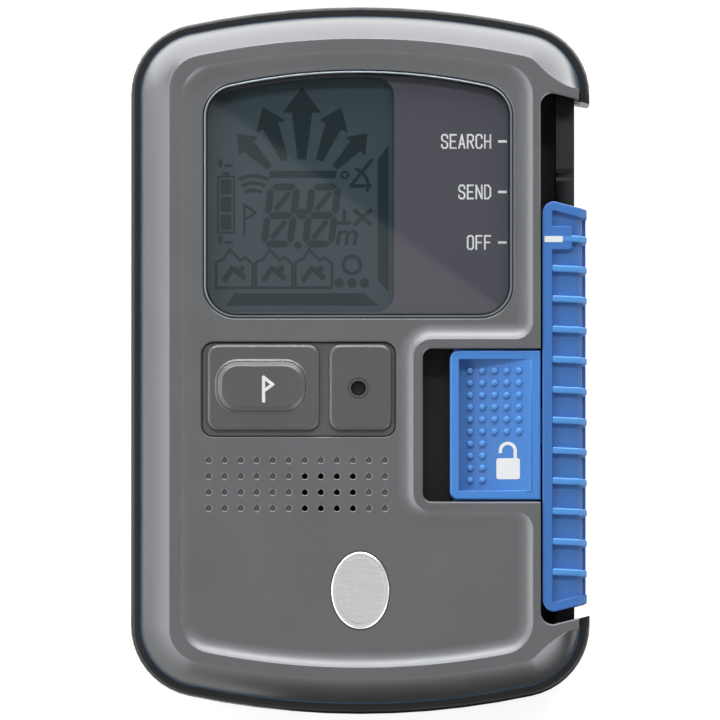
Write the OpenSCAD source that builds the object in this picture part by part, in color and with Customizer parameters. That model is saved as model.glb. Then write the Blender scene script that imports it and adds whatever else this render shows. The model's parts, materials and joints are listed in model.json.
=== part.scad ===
// Handheld avalanche transceiver lying on its back: +Z leaves the display, +Y points to the display end,
// and the slide switch is on the +X side. The origin is the centre of the back face.

/* [Body] */
// Overall width across the rear housing
body_w = 76.5; // [74:0.5:92]
// Overall length between the two crowned ends
body_l = 118; // [116:0.5:142]
// Overall thickness from the back face to the front rim
body_h = 29; // [28.5:0.1:35]
// Radius of the crowned top and bottom ends
crown_r = 138; // [115:1:170]
// Radius of the four corners
corner_r = 12; // [10:0.5:14]
// Wall of the rear housing
rear_wall = 2.2; // [1.8:0.1:2.6]
// Wall of the rear housing's rim, outside the front housing's skirt
rim_wall = 1.6; // [1.3:0.1:1.9]
// Height of the front housing above the joint
front_depth = 6.2; // [5.6:0.1:6.8]

/* [Front face] */
// Width of the sloped band along the sides
band_w = 4.85; // [4:0.05:5.2]
// Width of the sloped band along the ends
band_end_w = 4.25; // [3.8:0.05:4.8]
// Width of the raised ridge inside the band
ridge_w = 1.7; // [1.4:0.1:2]
// Depth of the dished panel inside the ridge
dish_depth = 0.9; // [0.6:0.1:1.2]
// Thickness of the front housing's plate
front_wall = 2; // [1.7:0.1:2.2]

/* [Display] */
// Width of the window
window_w = 51.5; // [42.9:0.1:52.5]
// Height of the window at its middle
window_h = 41.25; // [38:0.05:42]
// Thickness of the window
window_t = 1.4; // [1.1:0.1:1.5]
// Distance of the window from the left side
window_side = 12.15; // [11.8:0.05:12.5]
// Distance of the window's crown from the display end
window_top = 10.95; // [10.6:0.05:12]
// Radius of the window's upper edge
window_crown_r = 100; // [80:1:140]
// Width of the display's glass
lcd_w = 33; // [30:0.5:34]
// Height of the display's glass
lcd_h = 40; // [36:0.5:40.5]

/* [Keypad] */
// Width of the keypad
keypad_w = 32.3; // [26.9:0.1:33]
// Height of the keypad
keypad_h = 15.8; // [14.5:0.1:16.5]
// Distance of the keypad below the window
keypad_drop = 4; // [3:0.1:5]
// Width of the marking button
button_w = 14.6; // [12.5:0.1:15]
// Height of the marking button
button_h = 8.2; // [6.8:0.1:9.8]
// Travel of the marking button
button_travel = 0.8; // [0.5:0.1:1]

/* [Sound grille] */
// Columns of dots
grille_columns = 12; // [10:1:12]
// Rows of dots
grille_rows = 4; // [4:1:4]
// Spacing of the dots
grille_pitch = 2.665; // [2.4:0.005:2.7]
// Radius of a dot
grille_r = 0.5; // [0.4:0.05:0.6]

/* [Slide switch] */
// Width of the slide switch on the front face
slider_w = 7.4; // [7.2:0.1:7.6]
// Length of the slide switch
slider_l = 68.3; // [56:0.1:68.6]
// Travel from off to search
slider_travel = 16.5; // [12:0.1:16.8]
// Distance of the slot's ends from the middle
slot_half = 44.2; // [44:0.1:44.4]
// Slant of the slot's ends and of the switch's ends, in degrees
end_slant = 14; // [10:1:16]
// Spacing of the grip ribs
rib_pitch = 5.05; // [4.8:0.01:5.06]
// Clearance round everything that slides
slide_gap = 0.3; // [0.25:0.05:0.35]

/* [Lock] */
// Width of the lock button
lock_w = 15.1; // [13:0.1:15.4]
// Height of the lock button
lock_h = 24.9; // [22:0.1:25.2]
// Travel of the lock button
lock_travel = 4.2; // [3:0.1:4.2]
// Height of the lock button's middle above the body's middle
lock_y = -11.05; // [-12:0.05:-10]
// Spacing of the grip dots on the lock button
dot_pitch = 2.02; // [1.9:0.01:2.05]

/* [Battery bay] */
// Diameter of one cell
cell_d = 10.5; // [8.75:0.05:11]
// Length of one cell with its positive nub
cell_l = 44.5; // [37:0.1:44.8]
// Top end of the bay above the body's middle
bay_top = 10; // [9:0.5:11]
// Thickness of the battery cover
cover_t = 2; // [1.8:0.1:2.1]
// Radius of the cover's hinge pins
hinge_pin_r = 0.75; // [0.6:0.05:0.9]

/* [Aerials] */
// Radius of the ferrite rods
rod_r = 4; // [3.3:0.1:4.3]
// Length of the long ferrite rod
rod_x_l = 84; // [70:1:86]
// Length of the cross ferrite rod
rod_y_l = 40; // [34:1:41]

/* [Fastening] */
// Radius of the lanyard hole in the back
lanyard_r = 2; // [1.7:0.1:2.2]
// Thickness of the wall that the lanyard passes through
lanyard_wall = 3; // [2.8:0.1:3.2]
// Radius of a housing screw's shank
screw_r = 1.25; // [1:0.05:1.4]

/* [Hidden] */
$fn = 48;
tiny = 0.02;                               // thickness of a face that hull() starts from

// Heights above the back face
joint_z = body_h - front_depth;            // lower edge of the sloped band
rim_z = joint_z - 0.6;                     // top of the rear housing's rim
ridge_z = body_h;                          // top of the ridge
dish_z = ridge_z - dish_depth;             // floor of the dished panel
inner_z = dish_z - front_wall;             // underside of the front plate
skirt_z = joint_z - 4;                     // lower end of the front housing's skirt
board_t = 1.6;                             // thickness of the circuit board
board_top = skirt_z + 1.2;
board_z = board_top - board_t;

// Insets from the outer outline
skirt_inset = rim_wall + 0.2;
skirt_wall = 1.8;
inside_inset = skirt_inset + skirt_wall;
band_inset = skirt_inset + band_w;
band_end_inset = skirt_inset - 0.2 + band_end_w;
dish_inset = band_inset + ridge_w;
dish_end_inset = band_end_inset + ridge_w;
back_round = [5, 7];                       // rounding of the back edge, inwards and upwards
back_floor = rear_wall;                    // inside of the back wall

// Outline: straight sides, crowned ends and round corners, inset by i at the sides and j at the ends
corner_x = body_w / 2 - corner_r;
crown_y = body_l / 2 - crown_r;
corner_y = crown_y + sqrt(pow(crown_r - corner_r, 2) - pow(corner_x, 2));
corner_a = atan2(corner_y - crown_y, corner_x);
corner_steps = 10;
crown_steps = 10;

function arc(c, r, a0, a1, n = 6) =
    [for (i = [0:n]) c + r * [cos(a0 + (a1 - a0) * i / n), sin(a0 + (a1 - a0) * i / n)]];
function top_half(i) = concat(
    arc([corner_x, corner_y], corner_r - i, 0, corner_a, corner_steps),
    [for (k = [1:crown_steps - 1])
        let (a = corner_a + (180 - 2 * corner_a) * k / crown_steps)
        [0, crown_y] + (crown_r - i) * [cos(a), sin(a)]],
    arc([-corner_x, corner_y], corner_r - i, 180 - corner_a, 180, corner_steps));
function outline(i, j = undef) =
    let (s = is_undef(j) ? 1 : (body_l / 2 - j) / (body_l / 2 - i), h = top_half(i))
    concat([for (p = h) [p.x, p.y * s]], [for (p = h) [-p.x, -p.y * s]]);
function crown_edge(x, j) = crown_y + sqrt(pow(crown_r - j, 2) - x * x);

// A solid through rings of the outline, each given as [side inset, end inset, z]
module loft(rings) {
    n = len(outline(0));
    last = (len(rings) - 1) * n;
    points = [for (r = rings) for (p = outline(r[0], r[1])) [p.x, p.y, r[2]]];
    sides = [for (k = [0:len(rings) - 2]) for (i = [0:n - 1])
        let (j = (i + 1) % n, b = k * n)
        each [[b + i, b + n + j, b + j], [b + i, b + n + i, b + n + j]]];
    bottom = [for (i = [0:n - 1]) i];
    top = [for (i = [n - 1:-1:0]) last + i];
    polyhedron(points = points, faces = concat([bottom], sides, [top]));
}
// Rings of the rear housing's rounded back edge, from the back face up
function back_rings() = [for (a = [0:15:90]) let (i = back_round[0] * (1 - sin(a)))
    [i, i, back_round[1] * (1 - cos(a))]];

function rounded(x0, y0, x1, y1, r, n = 6) = concat(
    arc([x1 - r, y0 + r], r, -90, 0, n), arc([x1 - r, y1 - r], r, 0, 90, n),
    arc([x0 + r, y1 - r], r, 90, 180, n), arc([x0 + r, y0 + r], r, 180, 270, n));
module slab(points, z0, z1) { translate([0, 0, z0]) linear_extrude(z1 - z0) polygon(points); }
module block(a, b) { translate(a) cube(b - a); }
module post(p, r, h) { translate(p) cylinder(r = r, h = h); }
module rod_x(p, r, h) { translate(p) rotate([0, 90, 0]) cylinder(r = r, h = h); }
module rod_y(p, r, h) { translate(p) rotate([-90, 0, 0]) cylinder(r = r, h = h); }
// An outline in X and Z, extruded from y0 to y1
module profile(points, y0, y1) {
    translate([0, y1, 0]) rotate([90, 0, 0]) linear_extrude(y1 - y0) polygon(points);
}
module mirrored_y() { children(); mirror([0, 1, 0]) children(); }

// A round wire along a list of points
module wire(path, r, sides = 6) {
    n = len(path);
    rings = [for (i = [0:n - 1])
        let (a = path[max(i - 1, 0)], b = path[min(i + 1, n - 1)], t = (b - a) / norm(b - a),
            u0 = cross(t, abs(t.z) < 0.9 ? [0, 0, 1] : [1, 0, 0]), u = u0 / norm(u0), v = cross(t, u))
        each [for (k = [0:sides - 1]) path[i] + r * (cos(360 * k / sides) * u + sin(360 * k / sides) * v)]];
    walls = [for (i = [0:n - 2]) for (k = [0:sides - 1])
        let (m = (k + 1) % sides, b = i * sides)
        each [[b + k, b + m, b + sides + m], [b + k, b + sides + m, b + sides + k]]];
    first = [for (k = [sides - 1:-1:0]) k];
    end = [for (k = [0:sides - 1]) (n - 1) * sides + k];
    polyhedron(points = rings, faces = concat([first], walls, [end]));
}
function helix_y(c, r0, r1, h, turns, steps = 12) = [for (i = [0:turns * steps])
    let (f = i / (turns * steps), r = r0 + (r1 - r0) * f, a = 360 * i / steps)
    c + [r * cos(a), h * f, r * sin(a)]];
function helix_x(c, r, h, turns, steps = 10) = [for (i = [0:turns * steps])
    let (f = i / (turns * steps), a = 360 * i / steps)
    c + [h * f, r * cos(a), r * sin(a)]];

// Slide switch, at rest in its off position
slider_x1 = body_w / 2 - 0.55;
slider_x0 = slider_x1 - slider_w;
slot_x = slider_x0 - slide_gap;
slot_wall = 1.6;
slider_y0 = -slot_half + 2.1;
slider_y1 = slider_y0 + slider_l;
slider_ribs = floor((slider_l - 7.3) / rib_pitch);
slider_top = ridge_z - 0.5;
slider_bottom = slider_top - 2.5;
slot_floor = skirt_z + 1.4;
rail_x1 = slider_x1 - 2.05;
rail_x0 = rail_x1 - 3.05;
rail_top = slider_bottom - 1.2;
rail_foot = 10.5;
function slant(x) = max(0, x - slider_x0 - 1.7) * tan(end_slant);
// Slot outline with its round inner corners, grown by g all round
function slot_outline(g) =
    let (x0 = slot_x - g, x1 = body_w / 2 + 2, y = slot_half + g, r = 2.2 + g / 2,
        half = concat([[x1, y - slant(x1)]], arc([x0 + r, y - r], r, 90, 180)))
    concat(half, [for (i = [len(half) - 1:-1:0]) [half[i].x, -half[i].y]]);

// Window and what lies under it
window_x0 = -body_w / 2 + window_side;
window_x1 = window_x0 + window_w;
window_y1 = body_l / 2 - window_top;
window_y0 = window_y1 - window_h;
window_corner = 5.5;
lens_top = dish_z - 0.15;
lens_bottom = lens_top - window_t;
glue_t = 0.15;
ledge_w = 0.6;
ledge_t = 0.7;
ledge_z = lens_bottom - glue_t - ledge_t;
// Window outline inset by i, with a crowned top edge
function window_outline(i) =
    let (x0 = window_x0 + i, x1 = window_x1 - i, y0 = window_y0 + i, r = window_corner - i,
        cx = (window_x0 + window_x1) / 2, cy = window_y1 - window_crown_r, big = window_crown_r - i,
        hx = (x1 - x0) / 2 - r, hy = sqrt(pow(big - r, 2) - hx * hx), a = atan2(hy, hx), n = 10)
    concat(arc([x1 - r, y0 + r], r, -90, 0),
        arc([cx + hx, cy + hy], r, 0, a),
        [for (k = [1:n - 1]) let (b = a + (180 - 2 * a) * k / n) [cx, cy] + big * [cos(b), sin(b)]],
        arc([cx - hx, cy + hy], r, 180 - a, 180),
        arc([x0 + r, y0 + r], r, 180, 270));
lcd_x0 = window_x0 - 0.3;
lcd_y0 = window_y0 + 0.6;
lcd_top = ledge_z - 0.3;
lcd_wall = 1.1;
lcd_back = lcd_top - 2.4;                  // back of the glass
guide_back = lcd_back - 1.3;               // back of the light guide
strip_x = [lcd_x0 + 2.2, lcd_x0 + lcd_w - 2.2];
strip_y = [lcd_y0 + 0.5, lcd_y0 + 2.5];

// Keypad, marking button, lamp and sound grille
keypad_x0 = window_x0 - 0.3;
keypad_x1 = keypad_x0 + keypad_w;
keypad_y1 = window_y0 - keypad_drop;
keypad_y0 = keypad_y1 - keypad_h;
keypad_floor = dish_z - 1;
keypad_top = dish_z + 0.05;
groove_x = keypad_x1 - 12;
button_c = [(keypad_x0 + groove_x) / 2 - 0.2, (keypad_y0 + keypad_y1) / 2 + 0.5];
led_c = [keypad_x1 - 6.2, (keypad_y0 + keypad_y1) / 2 + 0.15];
led_r = 1.05;
grille_x0 = (keypad_x0 + keypad_x1) / 2 - 0.3 - grille_pitch * (grille_columns - 1) / 2;
grille_y1 = keypad_y0 - 3.9;
open_first = grille_columns - 6;           // first column of the holes that go through
speaker_c = [grille_x0 + grille_pitch * (open_first + 1.5), grille_y1 - grille_pitch * 2];
speaker_r = 8.5;
badge_c = [0, -body_l / 2 + 20.45];
badge_r = [4.8, 6.4];

// Lock button and its recess
lock_x1 = slot_x;
lock_x0 = lock_x1 - lock_w;
recess_x0 = lock_x0 - lock_travel - slide_gap;
recess_half = lock_h / 2 + slide_gap;
recess_z = dish_z - 3.9;
recess_floor_t = 1.6;
lock_top = ridge_z - 0.6;
lock_dip = 1.9;                            // depth of the finger ramp at its left end
channel = [0.7, lock_w - 1.9];             // spring channel, from the lock button's left end
channel_z = board_top + 1.4;
channel_half = 2.5;
leg_x = lock_x0 + channel[1] - 1.9;

// Parts on the circuit board
chip_a = [9, -46];
chip_w = 10;
radio_a = [-22, -48];
radio_w = 14;
row_pitch = 6.2;
column_pitch = 4.2;
magnet_y = slider_y1 - 20;
hall_x = slot_x - slot_wall - 3.1;
switch_top = inner_z - 2.1 - button_travel;

// Screw bosses and the battery bay
boss_x = body_w / 2 - 13.75;
boss_y = crown_edge(boss_x, 7.2);
left_boss = [-body_w / 2 + 7.65, body_l / 2 - 13.5];
bosses = [for (y = [-1, 1]) each [[boss_x, y * boss_y], [left_boss.x, y * left_boss.y]]];
boss_r = 3;
bay_wall = 1.5;
cell_gap = 0.6;
cell_pitch = cell_d + cell_gap;
plate_t = 0.4;
spring_l = 4.2;
bay_l = cell_l + spring_l + 2 * plate_t + 0.3;
bay_y0 = bay_top - bay_l;
bay_half = 1.5 * cell_d + cell_gap + 0.6;
seal_t = 0.25;
cover_z = 0.3;
cover_in = cover_z + cover_t;
ledge_in = cover_in + seal_t + 0.1;        // the housing's ledge over the cover's seal
cell_z = cover_in + 0.5 + cell_d / 2;
bay_roof = cell_z + cell_d / 2 + 0.35;
roof_t = 1.4;
frame_top = ledge_in + 2;
cover_half = bay_half + 2.4;
cover_gap = 0.3;
cover_y0 = bay_y0 - 2.4;
hinge_y = bay_top + 2.6;
barrel_r = 1.8;
hinge_wall = barrel_r + 1.8;               // housing round the hinge, from the pin's axis
foot_z = 0.5;                              // where ribs and posts start, inside the back wall
post_r = 1.5;
roof_posts = [for (x = [-12, 12]) for (y = [-26, -2]) [x, y]];
floor_posts = [[-22, 33], [10, 33]];
hinge_z = cover_z + barrel_r;
lug_w = 4;                                 // width of a hinge lug
screw_y = cover_y0 - 1.2;
tongue_half = 6.4;

// Lanyard hole and the pocket that it opens into
lanyard_c = [-15, -body_l / 2 + 9];
pocket = [[lanyard_c.x - 4.5, -body_l, lanyard_wall],
    [lanyard_c.x + 4.5, lanyard_c.y + 2.6, lanyard_wall + 5]];

// Aerials
rod_z = 10.5;
rod_side = 10.75;                          // distance of the long rod from the left side
aerial_x = -body_w / 2 + rod_side;
aerial_y = body_l / 2 - 11.5;
aerial_z = [body_w / 2 - 14.75, 29];
coil_x_l = 52;                             // length of the long rod's winding
coil_y_l = 22;                             // length of the cross rod's winding
winding_t = 1.1;
core_z = back_floor + 1.4;                 // foot of the upright core
core_r = 3.6;
core_l = 12;

module front_housing() {
    color("#6d6e70") difference() {
        union() {
            difference() {
                union() {
                    loft([[skirt_inset, skirt_inset, skirt_z], [skirt_inset, skirt_inset, rim_z],
                        [skirt_inset, skirt_inset - 0.2, joint_z], [band_inset, band_end_inset, ridge_z]]);
                    mirrored_y() shoulder();
                }
                loft([[inside_inset, inside_inset, skirt_z - 1], [inside_inset, inside_inset, joint_z - 1],
                    [band_inset + 1.6, band_end_inset + 1.6, inner_z]]);
                lcd_block(lcd_wall + 0.15, skirt_z, ledge_z);
            }
            intersection() {
                loft([[skirt_inset, skirt_inset, skirt_z], [skirt_inset, skirt_inset, joint_z],
                    [skirt_inset, skirt_inset, inner_z + 0.5]]);
                slab(slot_outline(slot_wall), skirt_z, inner_z + 0.5);
            }
            lock_walls();
            slab(window_outline(-1.2), ledge_z, inner_z + 0.2);
            for (b = bosses) post([b.x, b.y, skirt_z - 0.8], boss_r, inner_z - skirt_z + 1);
        }
        slab(dish_outline(), dish_z, ridge_z + 1);
        slab(slot_outline(0), slot_floor, ridge_z + 1);
        intersection() {
            slab(slot_outline(0), skirt_z - 1, ridge_z);
            block([rail_x0 - 0.1, -body_l, skirt_z - 1], [body_w, body_l, ridge_z]);
        }
        slab(window_outline(-0.1), lens_bottom - glue_t, ridge_z);
        slab(window_outline(ledge_w), ledge_z - 1, ridge_z);
        slab(rounded(keypad_x0 - 0.1, keypad_y0 - 0.1, keypad_x1 + 0.1, keypad_y1 + 0.1, 2),
            keypad_floor, ridge_z);
        slab(button_shape(0.5), inner_z - 1, ridge_z);
        post([led_c.x, led_c.y, inner_z - 1], led_r + 0.4, 4);
        for (c = [0:grille_columns - 1]) for (r = [0:grille_rows - 1])
            post([grille_x0 + c * grille_pitch, grille_y1 - r * grille_pitch,
                c >= open_first && c < open_first + 4 && r > 0 ? inner_z - 1 : dish_z - 0.5], grille_r, 4);
        slab(badge_outline(0.05), dish_z - 0.4, ridge_z);
        lock_recess();
        for (b = bosses) post([b.x, b.y, skirt_z - 1], screw_r, 5);
    }
}
// Full-height shoulder at the slot's upper end, where the sloped band runs out
module shoulder() {
    x0 = boss_x - 1;
    x1 = body_w / 2 - skirt_inset;
    y = slot_half - slant(slider_x1);
    low = [for (p = outline(skirt_inset, skirt_inset - 0.2)) if (p.x > x0 && p.y > y) p];
    hull() {
        slab(concat([[x1, y - 1.5]], low, [[x0, y + 8], [x0, y - 1.5]]), joint_z - 0.5, joint_z);
        slab([[x1, y - 1.5], [x1, y + 1], [slot_x, crown_edge(slot_x, band_end_inset)],
            [x0, crown_edge(x0, band_end_inset)], [x0, y - 1.5]], ridge_z - tiny, ridge_z);
    }
}
// Dished panel: inside the ridge, clear of the slot and stepping round the lock
function dish_outline() =
    let (x1 = slot_x - 1.2, r = 5, lx = recess_x0 - 1.5, ly1 = lock_y + recess_half + 1.5,
        ly0 = lock_y - recess_half - 1.5, edge = outline(dish_inset, dish_end_inset),
        yt = crown_edge(x1 - r, dish_end_inset) - r)
    concat(arc([x1 - r, yt], r, 0, 80), [for (p = edge) if (p.x < x1 - r - 1) p],
        arc([x1 - r, -yt], r, -80, 0), arc([x1 - 3, ly0 - 3], 3, 0, 90),
        arc([lx + 3, ly0 + 3], 3, 270, 180), arc([lx + 3, ly1 - 3], 3, 180, 90),
        arc([x1 - 3, ly1 + 3], 3, -90, 0));
module lock_walls() {
    y0 = lock_y - recess_half - 1.5;
    y1 = lock_y + recess_half + 1.5;
    block([recess_x0 - 1.5, y0, recess_z - recess_floor_t], [slot_x - 0.5, y1, inner_z + 0.5]);
    block([lock_x0 + channel[0] - 1.2, lock_y - channel_half - 1.2, channel_z - 1.1],
        [lock_x0 + channel[1] + 1.2, lock_y + channel_half + 1.2, recess_z]);
}
module lock_recess() {
    y0 = lock_y - recess_half;
    y1 = lock_y + recess_half;
    slab(concat([[slot_x + 1, y0], [slot_x + 1, y1]], arc([recess_x0 + 1.5, y1 - 1.5], 1.5, 90, 180),
        arc([recess_x0 + 1.5, y0 + 1.5], 1.5, 180, 270)), recess_z, ridge_z + 1);
    block([recess_x0 + 0.6, y0 - 0.8, recess_z + 0.6], [slot_x + 1, y1 + 0.8, recess_z + 1.7]);
    block([lock_x0 + channel[0], lock_y - channel_half, channel_z],
        [lock_x0 + channel[1], lock_y + channel_half, recess_z + 1]);
}

module rear_housing() {
    color("#3c3d3f") difference() {
        union() {
            difference() {
                loft(concat(back_rings(),
                    [[0, 0, rim_z - 1.1], [0.25, 0.25, rim_z - 0.4], [0.7, 0.7, rim_z]]));
                loft([[rear_wall + 5, rear_wall + 5, back_floor],
                    [rear_wall + 1.6, rear_wall + 1.6, back_floor + 1.2],
                    [rear_wall, rear_wall, back_floor + 5], [rear_wall, rear_wall, skirt_z - 0.6],
                    [rim_wall, rim_wall, skirt_z - 0.6], [rim_wall, rim_wall, rim_z + 1]]);
            }
            rail();
            block([-bay_half - bay_wall, bay_y0 - bay_wall, foot_z],
                [bay_half + bay_wall, bay_top + bay_wall, bay_roof + roof_t]);
            block([-cover_half - 2, cover_y0 - 2, foot_z],
                [cover_half + 2, hinge_y + hinge_wall, frame_top]);
            block([-cover_half - 3.6, hinge_y - 2.8, foot_z],
                [cover_half + 3.6, hinge_y + hinge_wall, hinge_z + hinge_wall]);
            post([0, screw_y, foot_z], tongue_half + 1.4, frame_top + 2.4 - foot_z);
            intersection() {
                loft(concat(back_rings(), [[0, 0, rim_z]]));
                block([pocket[0].x - 1.2, -body_l, 0], pocket[1] + [1.2, 1.2, 1.2]);
            }
            for (b = bosses) post([b.x, b.y, foot_z], boss_r, skirt_z - 0.9 - foot_z);
            for (p = roof_posts) post([p.x, p.y, bay_roof], post_r, board_z - bay_roof);
            for (p = floor_posts) post([p.x, p.y, foot_z], post_r, board_z - foot_z);
        }
        slot_side();
        slab(cover_shape(cover_gap), -1, ledge_in);
        block([-bay_half, bay_y0, -1], [bay_half, bay_top, bay_roof]);
        hinge_room();
        for (x = [-1, 1]) rod_x([x * (cover_half + 1.2) - 3, hinge_y, hinge_z], hinge_pin_r, 6);
        post([0, screw_y, 0], 2.4, frame_top + 1.4);
        post([0, screw_y, ledge_in + 0.6], 3.2, frame_top + 0.8 - ledge_in);
        post([lanyard_c.x, lanyard_c.y, -1], lanyard_r, lanyard_wall + 2);
        block(pocket[0], pocket[1]);
        for (b = bosses) {
            post([b.x, b.y, -1], screw_r + 0.15, body_h);
            post([b.x, b.y, -1], 2.5, 3.6);
        }
    }
}
// The side wall set back behind the slide switch, down to the back face
module rail() {
    intersection() {
        loft(concat(back_rings(), [[0, 0, body_h]]));
        union() {
            block([rail_x0, -slot_half, 0], [body_w / 2, slot_half, skirt_z - 0.4]);
            intersection() {
                slab(slot_outline(-0.1), skirt_z - 1, rail_top);
                block([rail_x0, -body_l, skirt_z - 1], [body_w, body_l, rail_top]);
            }
        }
    }
}
module slot_side() {
    intersection() {
        slab(slot_outline(0), -1, ridge_z + 1);
        block([rail_x1, -body_l, -1], [body_w, body_l, ridge_z + 1]);
    }
    block([rail_x1 - 1.3, slider_y0 - 1, rail_foot + 0.3], [rail_x1 + 1, slider_y1 + slider_travel + 0.8,
        rail_foot + 2.9]);
    for (k = [0:2]) rod_x([rail_x0 - 1, slider_y1 - 12 + k * slider_travel / 2, rail_top + 1.2], 1.6,
        rail_x1 - rail_x0 + 2);
}
// Battery cover's outline, grown by g all round
function cover_shape(g) = concat(
    arc([0, screw_y], tongue_half + g, 200, 340, 12),
    [[tongue_half + g, cover_y0 - g]], arc([cover_half - 2, cover_y0 + 2], 2 + g, -90, 0),
    [[cover_half + g, hinge_y], [-cover_half - g, hinge_y]],
    arc([-cover_half + 2, cover_y0 + 2], 2 + g, 180, 270), [[-tongue_half - g, cover_y0 - g]]);
module hinge_room() {
    rod_x([-cover_half - cover_gap, hinge_y, hinge_z], barrel_r + cover_gap, 2 * (cover_half + cover_gap));
    block([-cover_half - cover_gap, hinge_y - barrel_r - 0.8, -1], [cover_half + cover_gap,
        hinge_y + barrel_r + cover_gap, hinge_z]);
}

module housing_seal() {
    color("#3f74b5") difference() {
        slab(outline(rim_wall), skirt_z - 0.6, rim_z - 0.1);
        slab(outline(skirt_inset), skirt_z, rim_z);
        slab(outline(inside_inset - 0.2), skirt_z - 1, skirt_z + 1);
        slab(slot_outline(slot_wall + 0.05), skirt_z - 1, ridge_z);
    }
}
module housing_screws() {
    color("silver") for (b = bosses) difference() {
        union() {
            post([b.x, b.y, 1.1], 2.3, 1.5);
            post([b.x, b.y, 2], screw_r, skirt_z + 1.6);
        }
        post([b.x, b.y, 1], 0.9, 1);
    }
}
function badge_outline(g) = [for (a = [0:10:350])
    badge_c + [(badge_r[0] + g) * cos(a), (badge_r[1] + g) * sin(a)]];
module name_plate() { color("gainsboro") slab(badge_outline(0), dish_z - 0.4, dish_z + 0.3); }

module window_lens() { color("#4a4f55", 0.6) slab(window_outline(0), lens_bottom, lens_top); }
module window_adhesive() {
    color("#202224") difference() {
        slab(window_outline(0.05), lens_bottom - glue_t, lens_bottom);
        slab(window_outline(ledge_w + 0.1), lens_bottom - 1, lens_bottom + 1);
    }
}
// A block over the display's glass, grown by g all round
module lcd_block(g, z0, z1) {
    block([lcd_x0 - g, lcd_y0 - g, z0], [lcd_x0 + lcd_w + g, lcd_y0 + lcd_h + g, z1]);
}
module lcd_glass() { color("#4a565c") lcd_block(0, lcd_back, lcd_top); }
module lcd_light_guide() { color("#cfd8dc") lcd_block(0, guide_back, lcd_back); }
module lcd_frame() {
    color("#2a2b2d") difference() {
        lcd_block(lcd_wall, board_top, lcd_top);
        lcd_block(0, guide_back, lcd_top + 1);
        block([strip_x[0] - 0.2, lcd_y0 + 4, board_top - 1],
            [strip_x[1] + 0.2, lcd_y0 + lcd_h - 2, lcd_top]);
        block([strip_x[0] - 0.2, strip_y[0] - 0.2, board_top - 1],
            [strip_x[1] + 0.2, strip_y[1] + 0.2, lcd_top - 3]);
    }
}
module lcd_contact_strip() {
    color("#c98b8b") block([strip_x[0], strip_y[0], board_top], [strip_x[1], strip_y[1], guide_back]);
}

module main_board() {
    color("#1f5c3a") difference() {
        slab(outline(inside_inset + 0.4), board_z, board_top);
        block([slot_x - slot_wall - 0.4, -body_l, board_z - 1], [body_w, body_l, board_top + 1]);
        for (b = bosses) post([b.x, b.y, board_z - 1], boss_r + 0.3, board_t + 2);
    }
}
// A part soldered flat on the board, from corner a, w wide, l long and h high
module on_board(a, w, l, h) { block([a.x, a.y, board_top], [a.x + w, a.y + l, board_top + h]); }
module processor_chip() { color("#222326") on_board(chip_a, chip_w, chip_w, 1.2); }
module radio_module() {
    can = radio_a + [0.6, 3.5];
    color("silver") union() {
        on_board(radio_a, radio_w, radio_w, 0.8);
        on_board(can, radio_w - 1.2, radio_w - 4.1, 2.4);
    }
}
module hall_sensors() {
    color("#222326") for (k = [0:2]) on_board([hall_x, magnet_y - 1.5 + k * slider_travel / 2], 2, 3, 1.2);
}
module small_components() {
    color("#a08a60") for (i = [0:7]) {
        on_board([-26 + i * row_pitch, -52], 2.4, 1.4, 0.9);
        on_board([12 + (i % 2) * 5, 8 + i * column_pitch], 2.4, 1.5, 0.9);
    }
}
module status_led() {
    color("#f2f4ea") union() {
        on_board(led_c - [1.6, 1.6], 3.2, 3.2, 1);
        post([led_c.x, led_c.y, board_top + 0.5], led_r, keypad_floor - board_top - 0.9);
    }
}
module button_switch() {
    color("#c8c9cb") union() {
        on_board(button_c - [3, 3], 6, 6, switch_top - 1 - board_top);
        post([button_c.x, button_c.y, switch_top - 1.5], 1.6, 1.5);
    }
}
module speaker() {
    color("#303236") difference() {
        post([speaker_c.x, speaker_c.y, board_top], speaker_r, inner_z - board_top - 0.5);
        post([speaker_c.x, speaker_c.y, inner_z - 1.4], speaker_r - 1, 2);
    }
}
module speaker_mesh() {
    color("#17181a") post([speaker_c.x, speaker_c.y, inner_z - 0.45], speaker_r, 0.4);
}

module antenna_x_rod() { color("#3a3a3c") rod_y([aerial_x, -rod_x_l / 2, rod_z], rod_r, rod_x_l); }
module antenna_x_coil() {
    color("#b5713a") difference() {
        rod_y([aerial_x, -coil_x_l / 2, rod_z], rod_r + winding_t, coil_x_l);
        rod_y([aerial_x, -coil_x_l, rod_z], rod_r, 2 * coil_x_l);
    }
}
module antenna_y_rod() { color("#3a3a3c") rod_x([-rod_y_l / 2, aerial_y, rod_z], rod_r, rod_y_l); }
module antenna_y_coil() {
    color("#b5713a") difference() {
        rod_x([-coil_y_l / 2, aerial_y, rod_z], rod_r + winding_t, coil_y_l);
        rod_x([-coil_y_l, aerial_y, rod_z], rod_r, 2 * coil_y_l);
    }
}
module antenna_z_core() { color("#3a3a3c") post([aerial_z.x, aerial_z.y, core_z], core_r, core_l); }
module antenna_z_coil() {
    color("#b5713a") difference() {
        post([aerial_z.x, aerial_z.y, core_z + 2], core_r + 2.6, core_l - 4);
        post([aerial_z.x, aerial_z.y, back_floor], core_r, core_l + 2);
    }
}
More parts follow.
